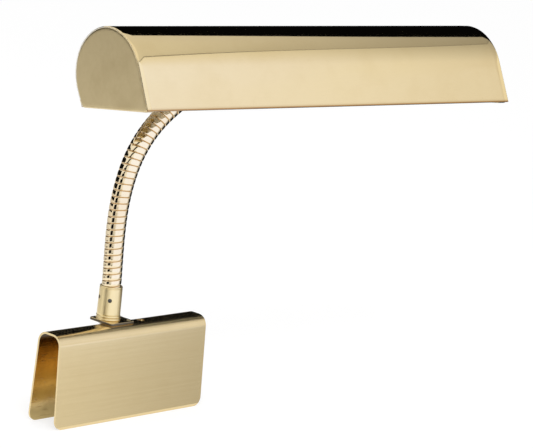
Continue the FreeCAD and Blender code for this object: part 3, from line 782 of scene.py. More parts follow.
# ---------------- clip, plate and lower ferrule
@dataclass
class DeskClip:
    """The folded clip, with the plate and the rivets on it."""

    length: float = 150.0 * MM
    height: float = 68.8 * MM
    sheet: float = 1.5 * MM
    gap: float = 20.2 * MM
    bend_radius: float = 6.7 * MM
    splay: float = 2.7
    corner_radius: float = 7.0 * MM
    hole: Vector = field(default_factory=lambda: Vector((17.0, 1.4, 0.0)) * MM)
    hole_radius: float = 3.0 * MM
    foot: Vector = field(default_factory=lambda: Vector((-9.9, 8.3, 0.0)) * MM)
    plate_middle: Vector = field(default_factory=lambda: Vector((-6.9, 6.9, 0.0)) * MM)
    cutout_radius: float = 8.2 * MM
    cutout_depth: float = 6.0 * MM
    plate_side: float = 24.0 * MM
    plate_thickness: float = 2.0 * MM
    plate_corner: float = 2.0 * MM
    rivet_spread: float = 9.6 * MM
    rivet_y: float = -1.2 * MM
    rivet_radius: float = 1.9 * MM
    rivet_rise: float = 0.17 * MM
    round_steps: int = 10
    body: str = "clip"

    @property
    def plate_top(self) -> float:
        """Height of the plate's upper face."""
        return self.sheet + self.plate_thickness

    def section(self) -> Outline:
        """The outer face's section, from the front toe over the top to the back toe, as (y, z)."""
        outer = self.bend_radius + self.sheet
        splay = math.radians(self.splay)
        centre_y = self.gap / 2 - self.bend_radius * math.cos(splay)
        centre = (centre_y, -self.bend_radius)
        knee_y = centre_y + outer * math.cos(splay)
        knee_z = centre[1] + outer * math.sin(splay)
        leg = (knee_z + self.height - self.sheet) / math.cos(splay)
        run, edge, steps = leg - self.corner_radius, 0.5 * MM, 14
        along = [edge + (run - 2 * edge) * k / steps for k in range(steps + 1)] + [run]
        along += [leg - self.corner_radius * (1 - k / self.round_steps)
                  for k in range(1, self.round_steps + 1)]
        down = [(knee_y + s * math.sin(splay), knee_z - s * math.cos(splay)) for s in along]
        side = down[::-1] + arc(centre, outer, self.splay, 90.0, 20)
        flat = [(y, self.sheet) for y in (0.9 * centre_y, 0.45 * centre_y)]
        front = [(-y, z) for y, z in side]
        return front + [(-y, z) for y, z in flat] + [(0.0, self.sheet)] + flat[::-1] + side[::-1]

    def make_body(self) -> None:
        """The folded sheet, with rounded toes, the fixing hole and the cord's cut-out."""
        section = self.section()
        half = self.length / 2
        corner = [self.corner_radius * (1 - math.cos(math.pi / 2 * k / self.round_steps))
                  for k in range(self.round_steps + 1)]
        run, steps = self.length - 2 * self.corner_radius, 36
        middle = [self.corner_radius + run * k / steps for k in range(1, steps)]
        places = corner + middle + [self.length - s for s in corner[::-1]]
        bottom = self.sheet - self.height
        knee = bottom + self.corner_radius
        draft = Draft()
        rows = []
        for along in places:
            inset = self.corner_radius - min(along, self.length - along)
            lift = 0.0
            if inset > 0.0:
                lift = self.corner_radius - math.sqrt(max(0.0, self.corner_radius**2 - inset**2))
            row = []
            for y, z in section:
                share = max(0.0, (knee - z) / self.corner_radius)
                slide = lift * share
                lean = math.copysign(math.tan(math.radians(self.splay)), y) * slide
                row.append(Vector((along - half, y - lean, z + slide)))
            rows.append(row)
        draft.grid(rows, flip=True)
        piece = draft.build("clip_folded_sheet")
        wear(piece, Finish.CLIP, Finish.CLIP_INSIDE)
        thickened(piece, self.sheet, lining=True)
        for place, radius, low in ((self.hole, self.hole_radius, -2 * self.sheet),
                                   (self.foot, self.cutout_radius, self.sheet - self.cutout_depth)):
            bored(piece, Matrix.Translation(place), radius, low, 2 * self.sheet)
        softened(piece, 0.32 * MM)
        dress(piece, self.body, ["clip_body"], Finish.CLIP, Finish.CLIP_INSIDE)

    def make_plate(self) -> None:
        """The square plate, with rounded corners and softened edges, its sides painted dark as a painted
        reflection.
        """
        half = self.plate_side / 2 - self.plate_corner
        outline: Outline = []
        for x, y, start in ((half, half, 0), (-half, half, 90), (-half, -half, 180), (half, -half, 270)):
            centre = (self.plate_middle.x + x, self.plate_middle.y + y)
            outline += arc(centre, self.plate_corner, start, start + 90, 6)
        draft = Draft()
        rows = [[Vector((x, y, z)) for x, y in outline] for z in (self.sheet, self.plate_top)]
        draft.solid(rows)
        piece = draft.build("plate_square")
        softened(piece, 0.4 * MM)
        dress(piece, self.body, ["mounting_plate"], Finish.CLIP, Finish.PLATE_EDGE)
        # The sides take the painted dark reflection; the top keeps the clip's brass.
        for face in piece.data.polygons:
            face.material_index = 1 if abs(face.normal.z) < 0.3 else 0

    def make_rivets(self) -> None:
        """Two rivets, peened almost flush with the plate."""
        radius, top = self.rivet_radius, self.plate_top
        shank = radius * 0.6
        outline = [(0.0, 0.0), (0.0, radius), (1.0 * MM, shank), (top - 0.8 * MM, shank),
                   (top - 0.1 * MM, radius * 0.98), (top + 0.05 * MM, radius * 0.9), (top + 0.14 * MM, shank),
                   (top + self.rivet_rise, radius * 0.25), (top + self.rivet_rise, 0.0)]
        rivets = []
        for side in (-1, 1):
            stand = Matrix.Translation((self.plate_middle.x + side * self.rivet_spread, self.rivet_y, 0.0))
            rivets.append(lathe("rivet", outline, stand, 40))
        piece = joined("plate_rivet_pair", rivets)
        dress(piece, self.body, ["plate_rivets"], Finish.TURNED)

    def build(self) -> None:
        """Make every piece of the clip."""
        self.make_body()
        self.make_plate()
        self.make_rivets()


def joined(name: str, pieces: Sequence[Piece]) -> Piece:
    """Join several meshes into one piece.

    Args:
        name: The new piece's name.
        pieces: What it is made of; they are used up.

    Returns:
        The new object.
    """
    draft = Draft()
    for piece in pieces:
        base = len(draft.points)
        draft.points += [piece.matrix_world @ v.co for v in piece.data.vertices]
        draft.faces += [tuple(base + i for i in p.vertices) for p in piece.data.polygons]
        bpy.data.objects.remove(piece)
    return draft.build(name)


def socket_screw(name: str, radius: float, length: float, place: Matrix) -> Piece:
    """A headless screw with a hexagonal socket in its outer end.

    Args:
        name: The piece's name.
        radius: Its thread's radius.
        length: Its length.
        place: Where it stands: Z runs from its point to its socket.

    Returns:
        The new object.
    """
    steps = 36
    bevel = 0.18 * radius
    socket = 0.62 * radius
    depth = 0.9 * radius

    def ring(size: float, height: float, hexagon: bool) -> list[Vector]:
        """A ring of points round the screw.

        Args:
            size: Its radius, or the reach of its corners.
            height: Its height above the screw's point.
            hexagon: Whether it has six sides.

        Returns:
            The points.
        """
        points = []
        for i in range(steps):
            angle = 2 * math.pi * i / steps
            reach = size
            if hexagon:
                offset = angle % (math.pi / 3) - math.pi / 6
                reach = size * math.cos(math.pi / 6) / math.cos(offset)
            points.append(place @ Vector((reach * math.cos(angle), reach * math.sin(angle), height)))
        return points

    rows = [
        ring(radius - bevel, 0.0, False), ring(radius, bevel, False),
        ring(radius, length - bevel, False), ring(radius - bevel, length, False),
        ring(socket * 1.06, length, True), ring(socket, length - 0.06 * radius, True),
        ring(socket, length - depth, True),
    ]
    draft = Draft()
    draft.solid(rows)
    return draft.build(name, 30.0)


@dataclass
class BaseFerrule:
    """The turned cup that holds the gooseneck, with its two screws."""

    clip: DeskClip
    foot_radius: float = 8.75 * MM
    top_radius: float = 8.4 * MM
    height: float = 25.2 * MM
    floor: float = 8.0 * MM
    bore: float = 7.25 * MM
    ring_radius: float = 9.15 * MM
    ring_height: float = 1.6 * MM
    groove: float = 0.5 * MM
    lip: float = 1.2 * MM
    nipple_radius: float = 5.0 * MM
    screws: tuple[Pair, ...] = ((156.0, 16.7 * MM), (225.0, 15.4 * MM))
    screw_radius: float = 1.5 * MM
    screw_hole: float = 1.55 * MM
    screw_recess: float = 0.4 * MM
    ring_round: float = 0.8 * MM

    def wall_radius(self, height: float) -> float:
        """Outside of the tapered wall at a height above the plate."""
        return self.foot_radius + (self.top_radius - self.foot_radius) * height / self.height

    def make_cup(self) -> None:
        """The cup, with two foot rings and a lip at its mouth."""
        ring = self.ring_radius
        step = self.groove / 2
        second = self.ring_height + self.groove
        wall = second + self.ring_height + self.groove
        foot = ring - self.groove
        top = self.height
        outline: Outline = [(0.0, self.nipple_radius), (0.0, ring - step)]
        outline += arc((self.ring_height / 2, ring - self.ring_round), self.ring_round, 180, 0, 10)[1:-1]
        outline += [(self.ring_height, foot), (second, foot)]
        outline += arc((second + self.ring_height / 2, ring - 0.95 * MM), self.ring_round, 180, 0, 10)[1:-1]
        outline += [(second + self.ring_height, foot - 0.1 * MM), (wall - step, foot - 0.1 * MM)]
        outline += [(wall, self.wall_radius(wall)), (wall + 0.5 * MM, self.wall_radius(wall))]
        heights = [wall + (top - self.lip - wall) * k / 12 for k in range(1, 12)]
        outline += [(height, self.wall_radius(height)) for height in heights]
        outline += [(top - self.lip - 0.35 * MM, self.wall_radius(top)),
                    (top - self.lip - 0.15 * MM, self.wall_radius(top) - 0.22 * MM)]
        outline += arc((top - self.lip / 2, self.top_radius - 0.55 * MM), 0.6 * MM, 150, 20, 8)
        outline += [(top, self.top_radius - 0.8 * MM), (top, self.bore), (self.floor, self.bore),
                    (self.floor, self.nipple_radius)]
        stand = Matrix.Translation((self.clip.foot.x, self.clip.foot.y, self.clip.plate_top))
        cup = lathe("ferrule_cup", outline, stand, 96)
        for angle, height in self.screws:
            place = self.screw_place(angle, height, self.bore - 0.6 * MM)
            bored(cup, place, self.screw_hole, 0.0, 5 * MM, segments=36, sharp=30.0)
        dress(cup, self.clip.body, ["base_ferrule"], Finish.TURNED)

    def screw_place(self, angle: float, height: float, depth: float) -> Matrix:
        """A frame that points out through the wall.

        Args:
            angle: Its direction from the axis, in degrees from +X.
            height: Its height above the plate.
            depth: Its distance from the axis.

        Returns:
            The frame, with Z outwards.
        """
        out = Vector((math.cos(math.radians(angle)), math.sin(math.radians(angle)), 0.0))
        point = Vector((self.clip.foot.x, self.clip.foot.y, self.clip.plate_top + height)) + out * depth
        return Matrix.Translation(point) @ out.to_track_quat("Z", "X").to_matrix().to_4x4()

    def make_screws(self) -> None:
        """Two headless screws, a little below the wall."""
        screws = []
        for angle, height in self.screws:
            reach = self.wall_radius(height) - self.screw_recess - self.bore
            place = self.screw_place(angle, height, self.bore)
            screws.append(socket_screw("screw", self.screw_radius, reach, place))
        piece = joined("ferrule_screw_pair", screws)
        dress(piece, self.clip.body, ["ferrule_set_screws"], Finish.BLACKENED)

    def build(self) -> None:
        """Make the ferrule and its screws."""
        self.make_cup()
        self.make_screws()


# ---------------- gooseneck
@dataclass
class Gooseneck:
    """The coiled hose, made as one helix and parted at the middles of the stretches between joints."""

    radius: float = 7.2 * MM
    bore: float = 4.7 * MM
    pitch: float = 4.75 * MM
    flat: Pair = (0.21, 0.79)
    flat_sag: float = 0.05 * MM
    shoulder_depth: float = 0.30 * MM
    seam_share: float = 0.05
    seam_depth: float = 0.2 * MM
    link: float = 19.03 * MM
    floor: float = 11.55 * MM
    first_joint: float = 32.0 * MM
    leans: tuple[float, ...] = (-2.7, -1.5, 2.4, 9.6, 18.6, 31.1, 43.8, 54.5, 65.1, 76.8, 89.6)
    around: int = 48
    bend_steps: int = 16
    shoulder_steps: int = 5
    crown_steps: int = 6
    half_blend: float = 6.8 * MM
    bodies: tuple[str, ...] = ("clip", "neck_1", "neck_2", "neck_3", "neck_4", "neck_5", "neck_6",
                               "neck_7", "neck_7", "neck_top", "neck_top", "neck_top")

    def __post_init__(self) -> None:
        """Take the neck's plane from its first joint."""
        axis = Vector(joint("neck_bend")["axis"])
        turn = math.atan2(-axis.x, axis.y)
        foot = Vector(joint("neck_bend")["pos_m"])
        self.frame = Matrix.Translation((foot.x, foot.y, 0.0)) @ Matrix.Rotation(turn, 4, "Z")
        self.corners = [Vector((0.0, 0.0, self.first_joint))]
        for lean in self.leans:
            step = Vector((math.sin(math.radians(lean)), 0.0, math.cos(math.radians(lean))))
            self.corners.append(self.corners[-1] + step * self.link)
        self.trace()

    def trace(self) -> None:
        """Walk the middle line: straight at both ends, and a smooth curve through each link's middle."""
        line: list[tuple[Vector, Vector]] = []
        count = len(self.corners)
        middles = [(self.corners[i] + self.corners[i + 1]) / 2 for i in range(count - 1)]
        start = Vector((0.0, 0.0, self.floor))
        first = (start + self.corners[0]) / 2
        line += [(start, Vector((0, 0, 1))), (first, Vector((0, 0, 1)))]
        entries = [first, *middles]
        for i in range(count - 1):
            low, bend, high = entries[i], self.corners[i], entries[i + 1]
            for k in range(1, self.bend_steps + 1):
                t = k / self.bend_steps
                point = low * (1 - t) ** 2 + bend * 2 * t * (1 - t) + high * t**2
                way = (bend - low) * (1 - t) + (high - bend) * t
                line.append((point, way.normalized()))
        line.append((self.corners[-1], line[-1][1]))
        self.line = line
        self.reach = [0.0]
        for (a, _), (b, _) in zip(line, line[1:]):
            self.reach.append(self.reach[-1] + (b - a).length)
        self.middle_reach = [self.reach[1 + self.bend_steps * i] for i in range(count)]

    def at(self, along: float) -> tuple[Vector, Vector]:
        """Find a place on the middle line.

        Args:
            along: Its distance from the hose's foot.

        Returns:
            The point and the line's direction there.
        """
        along = min(max(along, 0.0), self.reach[-1])
        for i in range(len(self.line) - 1):
            if along <= self.reach[i + 1] or i == len(self.line) - 2:
                share = (along - self.reach[i]) / (self.reach[i + 1] - self.reach[i])
                (a, way_a), (b, way_b) = self.line[i], self.line[i + 1]
                return a.lerp(b, share), way_a.lerp(way_b, share).normalized()
        return self.line[-1]

    def shoulder(self, foot: float, crown: float) -> list[Triple]:
        """One rounded side of a coil, in the numbers of its profile.

        Args:
            foot: Where it starts, as a share of the pitch.
            crown: Where it meets the crown.

        Returns:
            Its points from foot to crown.
        """
        points = []
        for k in range(self.shoulder_steps + 1):
            turn = math.pi / 2 * k / self.shoulder_steps
            drop = self.shoulder_depth * (1 - math.sin(turn)) + self.flat_sag
            points.append((foot + (crown - foot) * (1 - math.cos(turn)), drop, k / self.shoulder_steps))
        return points

    def profile(self) -> list[Triple]:
        """One coil as (share of the pitch, drop below the crown, 1 on the crown and 0 in the groove)."""
        low, high = self.flat
        seam = self.seam_share
        depth = self.shoulder_depth + self.seam_depth
        points = [(0.0, depth, 0.0), (seam * 0.45, depth * 0.95, 0.0), *self.shoulder(seam, low)]
        for k in range(1, self.crown_steps):
            share = -1 + 2 * k / self.crown_steps
            points.append((low + (high - low) * k / self.crown_steps, self.flat_sag * share * share, 1.0))
        points += reversed(self.shoulder(1.0 - seam, high))
        points.append((1.0 - seam * 0.45, depth * 0.95, 0.0))
        return points

    def wall(self, draft: Draft, rows: list[tuple[int, float, float, float]], crowns: list[float],
             places: list[Pair], inner: bool) -> list[list[int]]:
        """Add the helical wall of one stretch.

        Args:
            draft: Where the points and faces go.
            rows: For each row, its coil, its share of the pitch, its drop and its crown value.
            crowns: Gets each point's crown value.
            places: Gets each point's place along and round the coil.
            inner: Whether this is the inside of the hose.

        Returns:
            The index of each point, row by row.
        """
        grid = []
        for coil, share, drop, crown in rows:
            ring = []
            for i in range(self.around + 1):
                turn = i / self.around
                along = (coil + share + turn) * self.pitch
                point, way = self.at(along)
                side = Vector((way.z, 0.0, -way.x))
                angle = 2 * math.pi * turn
                reach = self.bore if inner else self.radius - drop
                out = side * math.cos(angle) + Vector((0.0, 1.0, 0.0)) * math.sin(angle)
                ring.append(self.frame @ (point + out * reach))
                crowns.append(crown)
                places.append((along, 2 * math.pi * self.radius * (coil + share + turn)))
            grid.append(ring)
        return draft.grid(grid, flip=inner)

    def stretch(self, name: str, first: int, last: int) -> Piece:
        """One stretch of the hose, from one coil to another.

        Args:
            name: The piece's name.
            first: Its first coil.
            last: The coil after its last.

        Returns:
            The new object, with its coil coordinates.
        """
        profile = self.profile()
        rows = [(coil, *point) for coil in range(first, last) for point in profile]
        rows.append((last, *profile[0]))
        draft = Draft()
        crowns: list[float] = []
        places: list[Pair] = []
        outer = self.wall(draft, rows, crowns, places, inner=False)
        inside = [(coil, share, 0.0, 0.0) for coil in range(first, last) for share in (0.0, 0.5)]
        inside.append((last, 0.0, 0.0, 0.0))
        inner = self.wall(draft, inside, crowns, places, inner=True)
        for low, high, flip in ((outer[0], inner[0], False), (outer[-1], inner[-1], True)):
            for i in range(self.around):
                face = (low[i], high[i], high[i + 1], low[i + 1])
                draft.faces.append(face[::-1] if flip else face)
        piece = draft.build(name, 75.0)
        mesh = piece.data
        mesh.attributes.new("coil_crown", "FLOAT", "POINT").data.foreach_set("value", crowns)
        vectors = [value for along, round_ in places for value in (along, round_, 0.0)]
        mesh.attributes.new("coil_place", "FLOAT_VECTOR", "POINT").data.foreach_set("vector", vectors)
        return piece

    def build(self) -> None:
        """Make each stretch: one on a single body rides on it, and one that spans a joint stays unattached in
        its place.
        """
        last = math.floor(self.reach[-1] / self.pitch) - 1
        cuts = [0, *(round(middle / self.pitch) for middle in self.middle_reach), last]
        names = ["neck_root"] + ["neck_link_%02d" % (i + 1) for i in range(len(self.leans))]
        for i, name in enumerate(names):
            piece = self.stretch("hose_%02d" % i, cuts[i], cuts[i + 1])
            below, above = self.bodies[max(i - 1, 0)], self.bodies[i]
            wear(piece, Finish.HOSE)
            if below == above:
                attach(piece, above)
            else:
                lean = self.leans[i - 1]
                before = self.leans[i - 2] if i > 1 else 0.0
                turn = math.radians((lean + before) / 2)
                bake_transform(piece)
            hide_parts(name)
            LOG.info("%s stands for %s between %s and %s", piece.name, name, below, above)


# ---------------- upper ferrule
@dataclass
class UpperFerrule:
    """The cup on the gooseneck's upper end, with its screw."""

    neck: Gooseneck
    length: float = 20.0 * MM
    radius: float = 8.6 * MM
    bore: float = 7.25 * MM
    seat: float = 12.0 * MM
    tube_radius: float = 5.0 * MM
    screw_radius: float = 1.5 * MM
    body: str = "neck_top"

    def build(self) -> None:
        """Turn the ferrule with a rolled mouth and a rounded shoulder, and fit its screw."""
        lean = Matrix.Rotation(math.radians(self.neck.leans[-1]), 4, "Y")
        axis = self.neck.frame @ Matrix.Translation(self.neck.corners[-1]) @ lean
        low = -self.seat
        high = low + self.length
        outline: Outline = [(low, self.bore)]
        outline += arc((low + 0.6 * MM, self.radius - 0.6 * MM), 0.6 * MM, 180, 60, 8)
        outline += [(low + 1.3 * MM, self.radius - 0.25 * MM), (low + 1.6 * MM, self.radius - 0.2 * MM)]
        outline += [(high - 4.2 * MM, self.radius - 0.2 * MM), (high - 3.9 * MM, self.radius - 0.45 * MM),
                    (high - 3.5 * MM, self.radius - 0.45 * MM), (high - 3.2 * MM, self.radius)]
        outline += arc((high - 1.2 * MM, self.radius - 1.2 * MM), 1.2 * MM, 90, 0, 6)
        outline += [(high, self.tube_radius), (0.0, self.tube_radius), (0.0, self.bore)]
        cup = lathe("upper_ferrule_cup", outline, axis, 80)
        dress(cup, self.body, ["upper_ferrule"], Finish.TURNED_X)
        bottom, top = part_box("upper_set_screw")
        middle = (bottom + top) / 2
        place = Matrix.Translation((middle.x, middle.y, top.z)) @ Matrix.Rotation(math.pi, 4, "X")
        screw = socket_screw("upper_socket_screw", self.screw_radius, top.z - bottom.z, place)
        dress(screw, self.body, ["upper_set_screw"], Finish.BLACKENED)


# ---------------- shade
@dataclass
class Shade:
    """The trough: a folded shell with hemmed rims, and a pressed cap in each end."""

    length: float = 355.6 * MM
    sheet: float = 1.0 * MM
    tilt: float = -9.1
    crown_radius: float = 41.0 * MM
    crown_turn: float = 112.3
    front_lean: float = 18.6
    front_leg: float = 32.8 * MM
    back_radius: float = 32.3 * MM
    back_turn: float = 73.1
    back_leg: float = 12.3 * MM
    pivot_from_left: float = 135.5 * MM
    cap_sheet: float = 0.8 * MM
    cap_inset: float = 0.6 * MM
    cap_flange: float = 7.0 * MM
    cap_round: float = 1.1 * MM
    cap_gap: float = 0.06 * MM
    cap_corner: float = 2.4 * MM
    hem: float = 5.0 * MM
    hem_step: float = 0.45 * MM
    rim_mark: float = 1.6 * MM
    lamp_rise: float = 9.2 * MM
    neck_bore: float = 4.85 * MM
    body: str = "shade"

    def __post_init__(self) -> None:
        """Take the shade's frame from its tilt joint."""
        pivot = joint("shade_tilt")
        axis = Vector(pivot["axis"])
        turn = Matrix.Rotation(math.atan2(axis.y, axis.x), 4, "Z")
        rise = Matrix.Rotation(-math.asin(axis.z), 4, "Y")
        tilt = Matrix.Rotation(math.radians(self.tilt), 4, "X")
        slide = Matrix.Translation((-self.pivot_from_left, 0.0, 0.0))
        self.frame = Matrix.Translation(pivot["pos_m"]) @ (turn @ rise) @ tilt @ slide
        self.crown_start = 180.0 - self.front_lean
        middle = self.crown_start - self.crown_turn / 2 - 90.0
        self.bracket_frame = self.frame @ Matrix.Rotation(math.radians(middle), 4, "X")
        lamp = Matrix.Translation((0.0, 0.0, self.lamp_rise)) @ Matrix.Rotation(math.pi / 2, 4, "Y")
        self.lamp_axis = self.bracket_frame @ lamp

    def section(self, inset: float) -> tuple[Outline, list[float]]:
        """The trough's section from the front rim over the crown to the back rim.

        Args:
            inset: How far inside the outer face.

        Returns:
            The points as (y, z), and each point's distance from the nearer rim along the sheet.
        """
        stop = self.crown_start - self.crown_turn
        crown = arc((0.0, 0.0), self.crown_radius - inset, self.crown_start, stop, 48)
        way = math.radians(stop)
        offset = self.crown_radius - self.back_radius
        centre = (offset * math.cos(way), offset * math.sin(way))
        back_stop = stop - self.back_turn
        back = arc(centre, self.back_radius - inset, stop, back_stop, 26)
        lean = math.radians(self.crown_start - 90.0)
        knee = crown[0]
        front = [(knee[0] - math.cos(lean) * s, knee[1] - math.sin(lean) * s)
                 for s in self.leg_places(self.front_leg)]
        fall = math.radians(back_stop)
        heel = back[-1]
        tail = [(heel[0] + math.sin(fall) * s, heel[1] - math.cos(fall) * s)
                for s in self.leg_places(self.back_leg)]
        path = front[::-1] + crown + back[1:] + tail
        reach = [0.0]
        for a, b in zip(path, path[1:]):
            reach.append(reach[-1] + math.dist(a, b))
        return path, [min(s, reach[-1] - s) for s in reach]

    def leg_places(self, leg: float) -> list[float]:
        """Places down a flat leg, close together at its rim.

        Args:
            leg: The leg's length.

        Returns:
            The distances from its knee.
        """
        even = [leg * k / 8 for k in range(1, 8)]
        near = [leg - d for d in (self.hem + 0.3 * MM, self.hem - 0.1 * MM, 1.0 * MM, 0.4 * MM, 0.0)]
        return [s for s in even if s < near[0] - 0.5 * MM] + near

    def make_shell(self) -> None:
        """The shell, as one closed skin with rounded edges, its inside lined with enamel."""
        edge = self.sheet / 2
        places = [0.0, 0.12 * MM, 0.30 * MM, edge]
        run, steps = self.length - 2 * edge, 60
        middles = [edge + run * k / steps for k in range(1, steps)]
        along = places + middles + [self.length - s for s in places[::-1]]
        draft = Draft()
        rows = []
        outer, rim = self.section(0.0)
        inner, _ = self.section(self.sheet)
        hemmed, _ = self.section(self.sheet + self.hem_step)
        count = len(outer)
        faces = []
        for i in range(count):
            out, into = Vector(outer[i]), Vector(hemmed[i] if rim[i] < self.hem else inner[i])
            faces.append((out, into, (into - out).normalized()))
        marks = [max(0.0, 1 - s / self.rim_mark) for s in rim]
        for x in along:
            from_end = min(x, self.length - x)
            shrink = 0.0
            if from_end < edge:
                shrink = edge - math.sqrt(edge**2 - (edge - from_end) ** 2)
                shrink = min(shrink, 0.42 * self.sheet)
            wave = 0.05 * MM * math.sin(x * 41.0) + 0.04 * MM * math.sin(x * 97.0 + 1.3)
            points = []
            for (out, _, way), s in zip(faces, rim):
                swell = wave * math.sin(math.pi * min(1.0, s / (0.6 * self.crown_radius)))
                points.append(out + way * (shrink + max(0.0, swell)))
            points += [into - way * shrink for _, into, way in reversed(faces)]
            rows.append([self.frame @ Vector((x, p.x, p.y)) for p in points])
        index = draft.grid(rows, closed=True, flip=True)
        inner_faces = len(draft.faces)
        for ring, flip in ((index[0], True), (index[-1], False)):
            for i in range(count - 1):
                j = 2 * count - 1 - i
                face = (ring[i], ring[i + 1], ring[j - 1], ring[j])
                draft.faces.append(face[::-1] if flip else face)
        piece = draft.build("shade_folded_shell", 50.0)
        wear(piece, Finish.SHADE, Finish.REFLECTOR)
        span = 2 * count
        for number, polygon in enumerate(piece.data.polygons):
            slot = number % span
            lining = number < inner_faces and count <= slot < span - 1
            polygon.material_index = 1 if lining else 0
        # The rim mark, 1 at a rim and 0 a rim_mark away, steers the painted dark reflection line along the
        # rims.
        rim_value = piece.data.attributes.new("rim", "FLOAT", "POINT")
        rim_value.data.foreach_set("value", (marks + marks[::-1]) * len(rows))
        softened(piece, 0.3 * MM, 50.0)
        dress(piece, self.body, ["shade_shell"], Finish.SHADE, Finish.REFLECTOR)

    def make_cap(self, name: str, left: bool) -> None:
        """A pressed cap: a flat face, a rounded edge and a flange that lies inside the shell.

        Args:
            name: The piece's name.
            left: Whether it closes the left end.
        """
        path, _ = self.section(self.sheet + self.cap_gap)
        (start_y, start_z), (stop_y, stop_z) = path[-1], path[0]
        steps, round_steps = 24, 6
        chord = [(start_y + (stop_y - start_y) * k / steps, start_z + (stop_z - start_z) * k / steps)
                 for k in range(1, steps)]
        loop = rounded_loop(path + chord, self.cap_corner)
        rings: list[Pair] = [(self.cap_flange, 0.0), (self.cap_flange * 0.5, 0.0)]
        for k in range(round_steps + 1):
            turn = math.pi / 2 * k / round_steps
            rings.append((self.cap_round * (1 - math.sin(turn)), self.cap_round * (1 - math.cos(turn))))
        rings.append((0.0, self.cap_round + 1.2 * MM))
        draft = Draft()
        rows = []
        for depth, inset in rings:
            x = self.cap_inset + depth
            if not left:
                x = self.length - x
            rows.append([self.frame @ Vector((x, y, z)) for y, z in inset_loop(loop, inset)])
        index = draft.grid(rows, closed=True, flip=left)
        draft.lid(index[-1], flip=left)
        piece = draft.build(name)
        thickened(piece, self.cap_sheet)
        softened(piece, 0.2 * MM)
        if not left:
            bored(piece, self.lamp_axis, self.neck_bore, self.length - 3 * MM, self.length + MM)
        node = "end_cap_left" if left else "end_cap_right"
        dress(piece, self.body, [node], Finish.CAP)

    def build(self) -> None:
        """Make the shell and both caps."""
        self.make_shell()
        self.make_cap("pressed_cap_left", left=True)
        self.make_cap("pressed_cap_right", left=False)


def bored(piece: Piece, place: Matrix, radius: float, low: float, high: float,
          segments: int = 48, sharp: float = SHARP) -> None:
    """Cut a round hole.

    Args:
        piece: What is cut.
        place: A frame; the hole runs along its Z.
        radius: The hole's radius.
        low: Where it starts.
        high: Where it stops.
        segments: How many faces go round it.
        sharp: How many degrees a sharp edge turns, at least.
    """
    outline = [(low, 0.0), (low, radius), (high, radius), (high, 0.0)]
    cutter = lathe("cutter", outline, place, segments)
    cut = piece.modifiers.new("hole", "BOOLEAN")
    cut.operation = "DIFFERENCE"
    cut.solver = "EXACT"
    cut.object = cutter
    applied(piece, sharp)
    bpy.data.objects.remove(cutter)


def sides(loop: Outline, i: int) -> tuple[Vector, Vector]:
    """The directions in which a loop comes to its point i and leaves it."""
    before, here, after = (Vector(loop[k % len(loop)]) for k in (i - 1, i, i + 1))
    return (here - before).normalized(), (after - here).normalized()


def inset_loop(loop: Outline, inset: float) -> Outline:
    """Move a convex loop inwards along the bisector at each point.

    Args:
        loop: The loop.
        inset: How far its sides move.

    Returns:
        The smaller loop.
    """
    moved: Outline = []
    count = len(loop)
    middle = Vector((sum(p[0] for p in loop) / count, sum(p[1] for p in loop) / count))
    for i, point in enumerate(loop):
        here = Vector(point)
        before, after = sides(loop, i)
        first = Vector((-before.y, before.x))
        second = Vector((-after.y, after.x))
        if first.dot(middle - here) < 0.0:
            first, second = -first, -second
        step = (first + second) / (1.0 + first.dot(second))
        moved.append(tuple(here + step * inset))
    return moved


def rounded_loop(loop: Outline, radius: float) -> Outline:
    """Round the real corners of a loop, and leave its gentle turns as they are.

    Args:
        loop: The loop.
        radius: The corners' radius.

    Returns:
        The rounded loop.
    """
    gentle = math.cos(math.radians(25.0))
    corners = [i for i in range(len(loop)) if Vector.dot(*sides(loop, i)) < gentle]
    near = [Vector(loop[i]) for i in corners]
    result: Outline = []
    for i, point in enumerate(loop):
        here = Vector(point)
        if i in corners:
            before, after = sides(loop, i)
            before = -before
            half = math.acos(max(-1.0, min(1.0, before.dot(after)))) / 2
            reach = radius / math.tan(half)
            start, end = here + before * reach, here + after * reach
            centre = here + (before + after).normalized() * (radius / math.sin(half))
            first, last = start - centre, end - centre
            for k in range(9):
                spoke = first.lerp(last, k / 8).normalized() * radius
                result.append(tuple(centre + spoke))
        elif all((here - corner).length > radius * 1.6 for corner in near):
            result.append(point)
    return result


